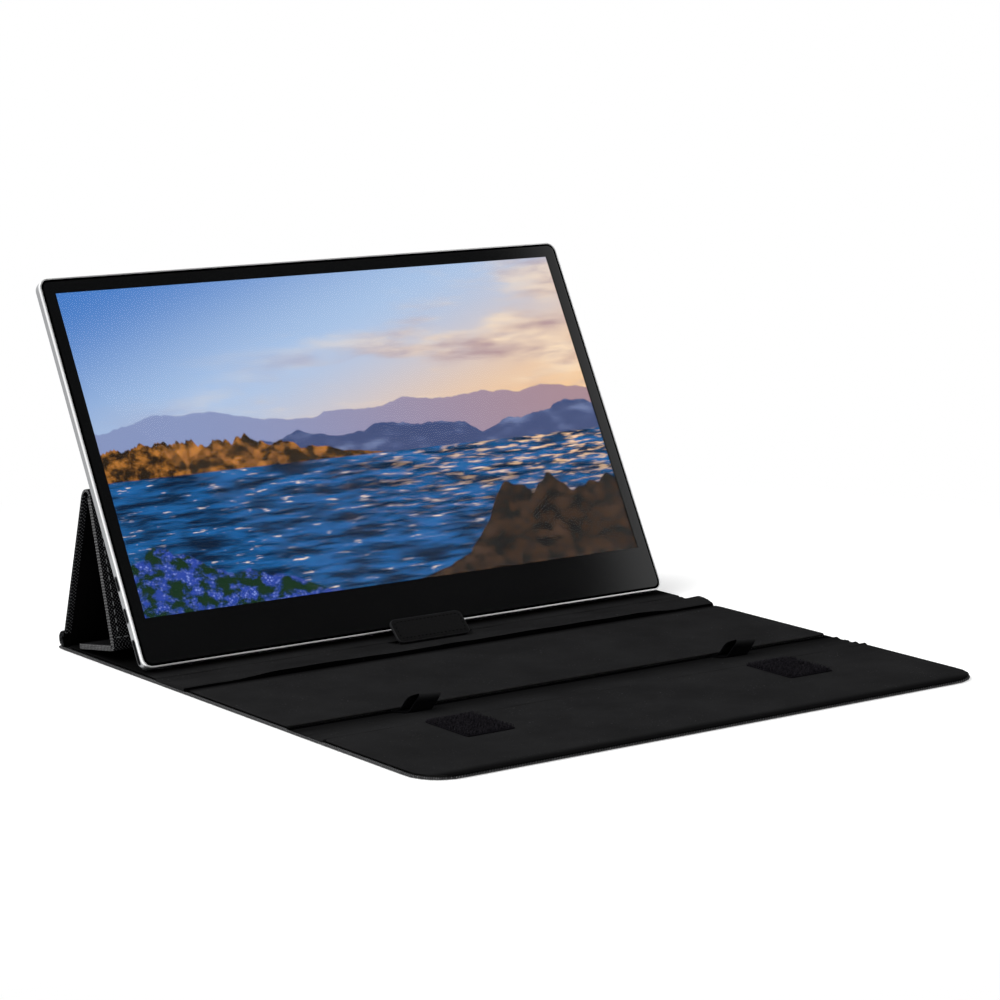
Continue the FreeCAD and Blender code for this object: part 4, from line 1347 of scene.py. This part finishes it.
class MakeLoops(bpy.types.Operator):
    """Ribbon loops that curl up before the middle panel"""

    bl_idname = "cover_monitor.make_loops"
    bl_label = "Ribbon loops"

    rise: angle_property("Rise", "Angle of the loops over the table", 46.5)
    length: length_property("Length", "How far a loop stands out of the groove", 12.0)
    gap: length_property("Gap", "Half the distance between the layers", 2.5)
    ribbon: length_property("Ribbon", "Thickness of the ribbon", 0.7)
    pitch: length_property("Pitch", "Size of the ribbon's weave", 0.7)
    tuck: length_property("Tuck", "How much narrower than its slit a loop is, on each side", 2.7)
    lean: length_property("Lean", "How far a loop leans to one side", 11.0)
    sway: length_property("Sway", "How far a loop hangs down before it rises", 2.2)
    twist: length_property("Twist", "How far one edge of a loop's end is turned up", 0.6)
    # Reach of the painted highlight from the loops' fold
    rubbed: length_property("Rubbed", "How far the rubbed colour reaches from the fold", 4.0)
    root_inset: length_property("Root inset", "Root of a loop before the rear edge of its slit", 0.6)
    root_rise: length_property("Root rise", "Root of a loop over the floor of its slit", 0.7)
    floor_room: length_property("Floor room", "Least height of a loop over that floor", 0.35)
    rear_fullness: number_property("Rear fullness", "How much the rear layer bows out", 0.35)
    front_fullness: number_property("Front fullness", "How much the front layer bows out", 2.2)
    pivot: number_property("Pivot", "Share of the length about which a loop leans", 0.55)
    taper: number_property("Taper", "Share of its width that a loop loses to its end", 0.1)
    steps: IntProperty(name="Steps", description="Rows of faces round a loop", default=56)
    columns: IntProperty(name="Columns", description="Faces across a loop", default=14)
    # Flat length of a ribbon against the length of its loop
    stretch = 2.3

    def execute(self, context):
        colours = context.scene.cover_colours
        # The loops' weave, with a painted highlight on their fold
        finish = finish_of(
            "ribbon_weave", canvas_finish, self.pitch, colours.ribbon, toned(colours.ribbon, 2.2),
            (colours.ribbon_worn, self.length, self.rubbed),
        )
        for side in ("left", "right"):
            low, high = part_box("ribbon_loop_" + side)
            width = high.x - low.x - 2 * self.tuck
            loop = self.curl("ribbon_" + side, low, high, width / 2, finish)
            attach(loop, "middle_panel")
            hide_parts("ribbon_loop_" + side)
            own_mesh(loop)
        return {"FINISHED"}

    def ring(self, low, high, half, turn, inward):
        """Points across the ribbon at a turn round its loop, on its outer or inner face"""
        root = Vector((0.0, high.y - self.root_inset, low.z + self.root_rise))
        out = Vector((0.0, -math.cos(self.rise), math.sin(self.rise)))
        over = Vector((0.0, math.sin(self.rise), math.cos(self.rise)))
        lowest = low.z + self.floor_room + inward
        share = (1 - math.cos(turn)) / 2
        bend = math.sin(math.pi * share)
        fullness = self.rear_fullness if turn < math.pi else self.front_fullness
        apart = (self.gap * fullness - inward) * math.sin(turn) * (0.5 + 0.5 * bend)
        sway = -self.sway * math.sin(2 * math.pi * share) * (1 - 0.85 * share)
        reach = inward + (self.length - 2 * inward) * share
        spots = []
        for column in range(self.columns + 1):
            across = 2 * column / self.columns - 1
            spot = root + out * reach + over * (apart + sway - self.twist * across * share)
            middle = (low.x + high.x) / 2 + self.lean * (share - self.pivot)
            spot.x = middle + across * half * (1 - self.taper * share)
            spot.z = max(spot.z, lowest)
            spots.append(spot)
        return spots

    def curl(self, name, low, high, half, finish):
        """Doubled ribbon that leans forward out of the groove, its layers parted like a leaf"""
        build = bmesh.new()
        layer = build.loops.layers.uv.new("cloth")
        skins = []
        for inward in (0.0, self.ribbon):
            turns = [2 * math.pi * index / self.steps for index in range(self.steps)]
            rings = [self.ring(low, high, half, turn, inward) for turn in turns]
            skins.append([[build.verts.new(spot) for spot in ring] for ring in rings])
        step = 2 * self.length / self.steps

        def add_face(corners, spots):
            face = build.faces.new(corners)
            face.smooth = True
            for loop, spot in zip(face.loops, spots):
                loop[layer].uv = spot

        for index in range(self.steps):
            after = (index + 1) % self.steps
            here = index * step
            for column in range(self.columns):
                a, b = [half * (2 * edge / self.columns - 1) for edge in (column, column + 1)]
                for skin in skins:
                    first = skin[index][column:column + 2]
                    second = skin[after][column:column + 2]
                    spots = ((a, here), (b, here), (b, here + step), (a, here + step))
                    add_face((*first, *reversed(second)), spots)
            for column in (0, self.columns):
                first, second = [[skin[index][column], skin[after][column]] for skin in skins]
                add_face((*first, *reversed(second)), ((0, 0), (0, step), (step, step), (step, 0)))
        bmesh.ops.recalc_face_normals(build, faces=build.faces)
        return finished_object(name, build, [finish])


class MakePatches(bpy.types.Operator):
    """Hook patches of the front panel, with their pile"""

    bl_idname = "cover_monitor.make_patches"
    bl_label = "Hook patches"

    tape: length_property("Tape", "Thickness of the tape", 0.5)
    sink: length_property("Sink", "How far the tape is pressed into the lining", 0.12)
    corner: length_property("Corner", "Corner radius of the tape", 1.5)
    pile_pitch: length_property("Pile pitch", "Distance from hook to hook", 1.0)
    pile_height: length_property("Pile height", "Height of the hooks over the tape", 2.0)
    rear_room: length_property("Rear room", "Height of the hooks where the panels close first", 0.9)
    rear_slope: number_property("Rear slope", "How fast the hooks may grow from that edge", 0.25)
    seed: IntProperty(name="Seed", description="Start of the pile's scatter", default=7)
    # Scatter of the hooks: places, heights and leans as shares, radii in millimetres
    jitter = 0.45
    heights = (0.5, 1.0)
    leans = (0.4, 0.9)
    radii = (0.1, 0.22)
    # A hook's bends, each with a share of its height and of its lean
    bends = ((0.0, 0.0), (0.7, 0.3), (1.0, 0.9), (0.78, 1.4))

    def execute(self, context):
        hook = context.scene.cover_colours.hook
        tape_finish = finish_of("hook_tape", grained_finish, hook, 0.7, scale=1.5, relief=0.1, specular=0.0)
        pile_finish = finish_of(
            "hook_bristles", grained_finish, toned(hook, 2.0), 0.6, scale=0.4, spread=0.9, specular=0.03
        )
        for side in ("left", "right"):
            node = "hook_patch_" + side
            low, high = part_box(node)
            base = low.z + self.tape
            place = flat_place(Matrix.Translation(((low.x + high.x) / 2, 0, 0)))
            tape = plate_mesh(
                "hook_tape_" + side, (high.x - low.x) / 2, low.y, high.y, level(base),
                level(low.z - self.sink), place, [tape_finish], edge=0.12 * MM, step=3 * MM,
                front_corner=self.corner, rear_corner=self.corner,
            )
            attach(tape, "front_panel")
            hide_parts(node)
            hooks = self.pile(side, low, high, base, pile_finish)
            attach(hooks, "front_panel")
        return {"FINISHED"}

    def pile(self, side, low, high, base, finish):
        """Short bent hooks scattered over the tape"""
        chance = random.Random(self.seed + len(side))
        build = bmesh.new()
        pitch = self.pile_pitch
        columns = int((high.x - low.x) / pitch)
        rows = int((high.y - low.y) / pitch)
        for row in range(rows):
            for column in range(columns):
                x = low.x + (column + 0.5 + self.jitter * chance.uniform(-1, 1)) * pitch
                y = low.y + (row + 0.5 + self.jitter * chance.uniform(-1, 1)) * pitch
                bearing = chance.uniform(0, 2 * math.pi)
                room = self.rear_room + self.rear_slope * (high.y - y)
                tall = min(self.pile_height * chance.uniform(*self.heights), room)
                ahead = Vector((math.cos(bearing), math.sin(bearing), 0))
                lean = ahead * pitch * chance.uniform(*self.leans)
                radius = chance.uniform(*self.radii) * MM
                spine = [Vector((x, y, base + rise * tall)) + lean * share for rise, share in self.bends]
                self.bristle(build, spine, lean.normalized() * radius)
        return finished_object("hook_pile_" + side, build, [finish])

    def bristle(self, build, spine, ahead):
        """Three-sided hair along a spine"""
        side = Vector((-ahead.y, ahead.x, 0))
        rings = [(spot + side, spot - side * 0.5 + ahead, spot - side * 0.5 - ahead) for spot in spine]
        add_tube(build, rings, False)


class MakeTab(bpy.types.Operator):
    """Leather tab that stops the monitor's lower edge, with its seam"""

    bl_idname = "cover_monitor.make_tab"
    bl_label = "Stop tab"

    rise: angle_property("Rise", "Angle of the tab", 43.0)
    thickness: length_property("Thickness", "Thickness of the tab", 2.4)
    length: length_property("Length", "Length of the tab from its hinge line", 15.0)
    crown: length_property("Crown", "How much the faces swell", 0.25)
    crown_drop: length_property("Crown drop", "Height of the faces lost at the edge", 0.3)
    crown_reach: length_property("Crown reach", "Distance from the edge where the swelling ends", 3.0)
    seam_inset: length_property("Seam inset", "Seam from the tab's edge", 2.5)
    seam_sink: length_property("Seam sink", "Depth of the thread's middle in the leather", 0.35)
    stitch_pitch: length_property("Stitch pitch", "Distance from stitch to stitch", 2.7)
    stitch_length: length_property("Stitch length", "Visible length of one stitch", 1.5)
    stitch_radius: length_property("Stitch radius", "Radius of the thread", 0.42)

    def execute(self, context):
        leather = context.scene.cover_colours.leather
        low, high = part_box("tab_leather")
        half = (high.x - low.x) / 2
        offset = (high.x + low.x) / 2
        matrix = turned(joint_spot("tab_fold"), self.rise) @ Matrix.Translation((offset, 0, 0))
        place = flat_place(matrix)
        thick = self.thickness / 2
        start = -thick

        def face_height(across, along):
            near = min(half - abs(across), along - start, self.length - along)
            full = 1 - max(0.0, 1 - near / self.crown_reach) ** 2
            return thick - self.crown_drop + self.crown * full

        grain = finish_of(
            "leather_grain", grained_finish, leather, 0.55,
            scale=0.9, relief=0.12, spread=0.35, specular=0.04, cloth=True,
        )
        painted = finish_of(
            "leather_edge", grained_finish, toned(leather, 4.5), 0.6, scale=1.2, relief=0.08, specular=0.1
        )
        waxed = finish_of(
            "leather_thread", grained_finish, toned(leather, 0.03), 0.6, scale=2.0, specular=0.0
        )
        tab = plate_mesh(
            "stop_tab_leather", half, start, self.length, face_height,
            lambda across, along: -face_height(across, along), place, [grain, painted], edge=0.7 * MM,
            step=1.2 * MM, front_corner=3.0 * MM, rear_corner=4.0 * MM, paint=rim_paint,
        )
        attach(tab, "stop_tab")
        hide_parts("tab_leather")
        build = bmesh.new()
        inset = self.seam_inset
        spots = outline_spots(
            half - inset, start + inset, self.length - inset,
            front_corner=1.2 * MM, rear_corner=2.2 * MM, pitch=self.stitch_pitch,
        )
        for face in (1, -1):
            up = face * (thick - self.seam_sink)
            for spot, direction in spots:
                add_stitch(build, place, spot, direction, up, self.stitch_length, self.stitch_radius)
        seam = finished_object("stop_tab_seam", build, [waxed])
        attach(seam, "stop_tab")
        return {"FINISHED"}


class MakeScreen(bpy.types.Operator):
    """Front glass with its printed border, and the lit picture under it"""

    bl_idname = "cover_monitor.make_screen"
    bl_label = "Screen"

    def execute(self, context):
        look = context.scene.monitor_look
        matrix = monitor_matrix(look)
        low, high = upright_box("lcd_cell", matrix)
        corner = Vector((low.x + look.side_border, low.y, low.z + look.lower_border))
        width = high.x - look.side_border - corner.x
        height = high.z - look.side_border - corner.z
        self.make_picture(context, look, matrix, corner, width, height)
        self.make_glass(look, matrix, corner, width, height)
        return {"FINISHED"}

    def make_picture(self, context, look, matrix, corner, width, height):
        finish, nodes, shader = new_finish("display_picture")
        right = Vector((1.0, 0.0, 0.0)) / width
        up = matrix.to_3x3() @ Vector((0.0, 0.0, 1.0)) / height
        nodes.set(shader.inputs, {
            "Base Color": (0.002, 0.002, 0.002, 1.0),
            "Specular IOR Level": 0.0,
            "Emission Color": lake_view(nodes, context.scene.picture_colours, matrix @ corner, right, up),
            "Emission Strength": look.brightness,
        })
        slots = frame["nodes"]["lcd_cell"].data.materials
        slots.clear()
        slots.append(finish)

    def make_glass(self, look, matrix, corner, width, height):
        box = upright_box("front_glass", matrix)
        half = (box[1].x - box[0].x) / 2
        low = box[0].z
        high = box[1].z

        def place(across, along, up):
            return matrix @ Vector((across, -up, along))

        def face(across, along):
            inward = min(half - abs(across), along - low, high - along)
            return -look.glass_drop * max(0.0, 1 - inward / look.glass_chamfer)

        def paint(middle, kind):
            if kind == "rim":
                return 2
            inside = corner.x < middle[0] < corner.x + width and corner.z < middle[1] < corner.z + height
            return 1 if inside else 0

        insets = [look.glass_edge, look.glass_chamfer]
        insets += [look.glass_corner * share for share in (0.4, 0.6, 0.8, 1.0)]
        # Painted shade: a matte, blacker band on the glass's printed edge, for the dark gap between the glass and
        # the rim
        matte = grained_finish("glass_edge_black", toned(look.border, 0.08), 0.8, spread=0.3, specular=0.0)
        glass = plate_mesh(
            "cover_glass", half, low, high, face, level(-look.glass_thickness), place,
            [self.border_finish(look), self.window_finish(), matte], edge=0.12 * MM, rim=look.glass_edge,
            step=12 * MM, paint=paint, front_corner=look.glass_corner, rear_corner=look.glass_corner,
            extra_across=[corner.x, corner.x + width] + inset_lines(-half, half, insets),
            extra_along=[corner.z, corner.z + height] + inset_lines(low, high, insets),
        )
        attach(glass, "monitor")
        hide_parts("front_glass")

    def border_finish(self, look):
        finish, nodes, shader = new_finish("glass_border")
        smudge = nodes.group(fine_grain, nodes.object_space(), Scale=1.0)["Smudge"]
        nodes.set(shader.inputs, {
            "Base Color": nodes.mix(smudge, look.border, toned(look.border, 1.25)),
            "Roughness": nodes.spread(smudge, 0.05, 0.12),
            "IOR": 1.5,
        })
        return finish

    def window_finish(self):
        finish, nodes, shader = new_finish("clear_window")
        smudge = nodes.group(fine_grain, nodes.object_space(), Scale=1.0)["Smudge"]
        nodes.set(shader.inputs, {
            "Base Color": WHITE,
            "Roughness": nodes.spread(smudge, 0.0, 0.02),
            "Transmission Weight": 1.0,
            "IOR": 1.12,
        })
        return finish


class FinishHousing(bpy.types.Operator):
    """Materials of the housing, the sockets, the controls and what lies inside"""

    bl_idname = "cover_monitor.finish_housing"
    bl_label = "Housing and inside"

    def execute(self, context):
        look = context.scene.monitor_look
        anodised = {"metallic": 1.0, "scale": 1.2, "relief": 0.012, "spread": 0.12}
        metal = {"metallic": 1.0}
        finishes = {}
        for slot, colour, roughness, more in (
            ("silver_metal", look.silver, 0.36, anodised),
            ("socket_steel", (0.12, 0.12, 0.125), 0.42, {"metallic": 1.0, "scale": 3.0, "relief": 0.01}),
            ("control_metal", (0.55, 0.56, 0.57), 0.3, {"metallic": 1.0, "scale": 2.0, "relief": 0.01}),
            ("black_tape", (0.006, 0.006, 0.006), 0.6, {"scale": 1.5}),
            ("white_film", (0.82, 0.82, 0.8), 0.35, {"scale": 0.8, "spread": 0.04}),
            ("tray_steel", (0.42, 0.42, 0.43), 0.45, metal),
            ("circuit_board", (0.015, 0.085, 0.04), 0.45, {"spread": 0.3}),
            ("chip_black", (0.012, 0.012, 0.013), 0.55, {"scale": 2.0}),
            ("flex_film", (0.3, 0.12, 0.02), 0.3, {"scale": 1.2}),
            ("spreader_metal", (0.5, 0.27, 0.16), 0.35, metal),
            ("stiff_board", (0.03, 0.029, 0.028), 0.9, {"scale": 1.6, "relief": 0.05, "spread": 0.3}),
            ("keeper_steel", (0.5, 0.5, 0.5), 0.35, metal),
            ("clear_acrylic", (0.85, 0.87, 0.88), 0.2, {"scale": 0.8, "spread": 0.05}),
        ):
            finishes[slot] = grained_finish(slot + "_finish", colour, roughness, **more)
        # Painted shade: the rear shell takes a darker copy of the silver
        shell = grained_finish("anodised_shell", look.shell, 0.42, **anodised)
        for subpart in frame["record"]["subparts"]:
            finish = finishes.get(subpart["material_slot"])
            if finish is not None:
                slots = frame["nodes"][subpart["node"]].data.materials
                slots.clear()
                slots.append(shell if subpart["node"] == "rear_shell" else finish)
        for node in ("rear_shell", "front_rim", "power_button", "menu_rocker"):
            self.break_edges(frame["nodes"][node], look.edge_break)
        return {"FINISHED"}

    def break_edges(self, piece, width):
        """Small rounding that lets the metal edges catch light"""
        weld = piece.modifiers.new("weld", "WELD")
        weld.merge_threshold = 0.002 * MM
        bevel = piece.modifiers.new("edge_break", "BEVEL")
        bevel.width = width
        bevel.segments = 2
        bevel.limit_method = "ANGLE"
        bevel.angle_limit = math.radians(40)
        bevel.use_clamp_overlap = True


class CoverMonitorPanel(bpy.types.Panel):
    """Buttons and settings of the monitor and its cover"""

    bl_idname = "VIEW3D_PT_cover_monitor"
    bl_label = "Folding Cover Monitor"
    bl_space_type = "VIEW_3D"
    bl_region_type = "UI"
    bl_category = "Monitor"

    def draw(self, context):
        for operator in operators:
            self.layout.operator(operator.bl_idname)
        for name, group in settings:
            box = self.layout.box()
            box.label(text=group.__doc__)
            for key in group.__annotations__:
                box.prop(getattr(context.scene, name), key)


settings = (
    ("cover_sizes", CoverSizes),
    ("cover_colours", CoverColours),
    ("monitor_look", MonitorLook),
    ("picture_colours", PictureColours),
    ("stage_look", StageLook),
)
operators = (
    MakeStage, MakeFolds, MakeStandFolds, SewCover, MakeSkins, MakeLinings,
    MakeLoops, MakePatches, MakeTab, MakeScreen, FinishHousing,
)


def register():
    for name, group in settings:
        bpy.utils.register_class(group)
        setattr(bpy.types.Scene, name, PointerProperty(type=group))
    for operator in operators:
        bpy.utils.register_class(operator)
    bpy.utils.register_class(CoverMonitorPanel)


def unregister():
    bpy.utils.unregister_class(CoverMonitorPanel)
    for operator in reversed(operators):
        bpy.utils.unregister_class(operator)
    for name, group in reversed(settings):
        delattr(bpy.types.Scene, name)
        bpy.utils.unregister_class(group)


def main():
    register()
    for operator in operators:
        family, action = operator.bl_idname.split(".")
        getattr(getattr(bpy.ops, family), action)()


if __name__ == "__main__":
    main()
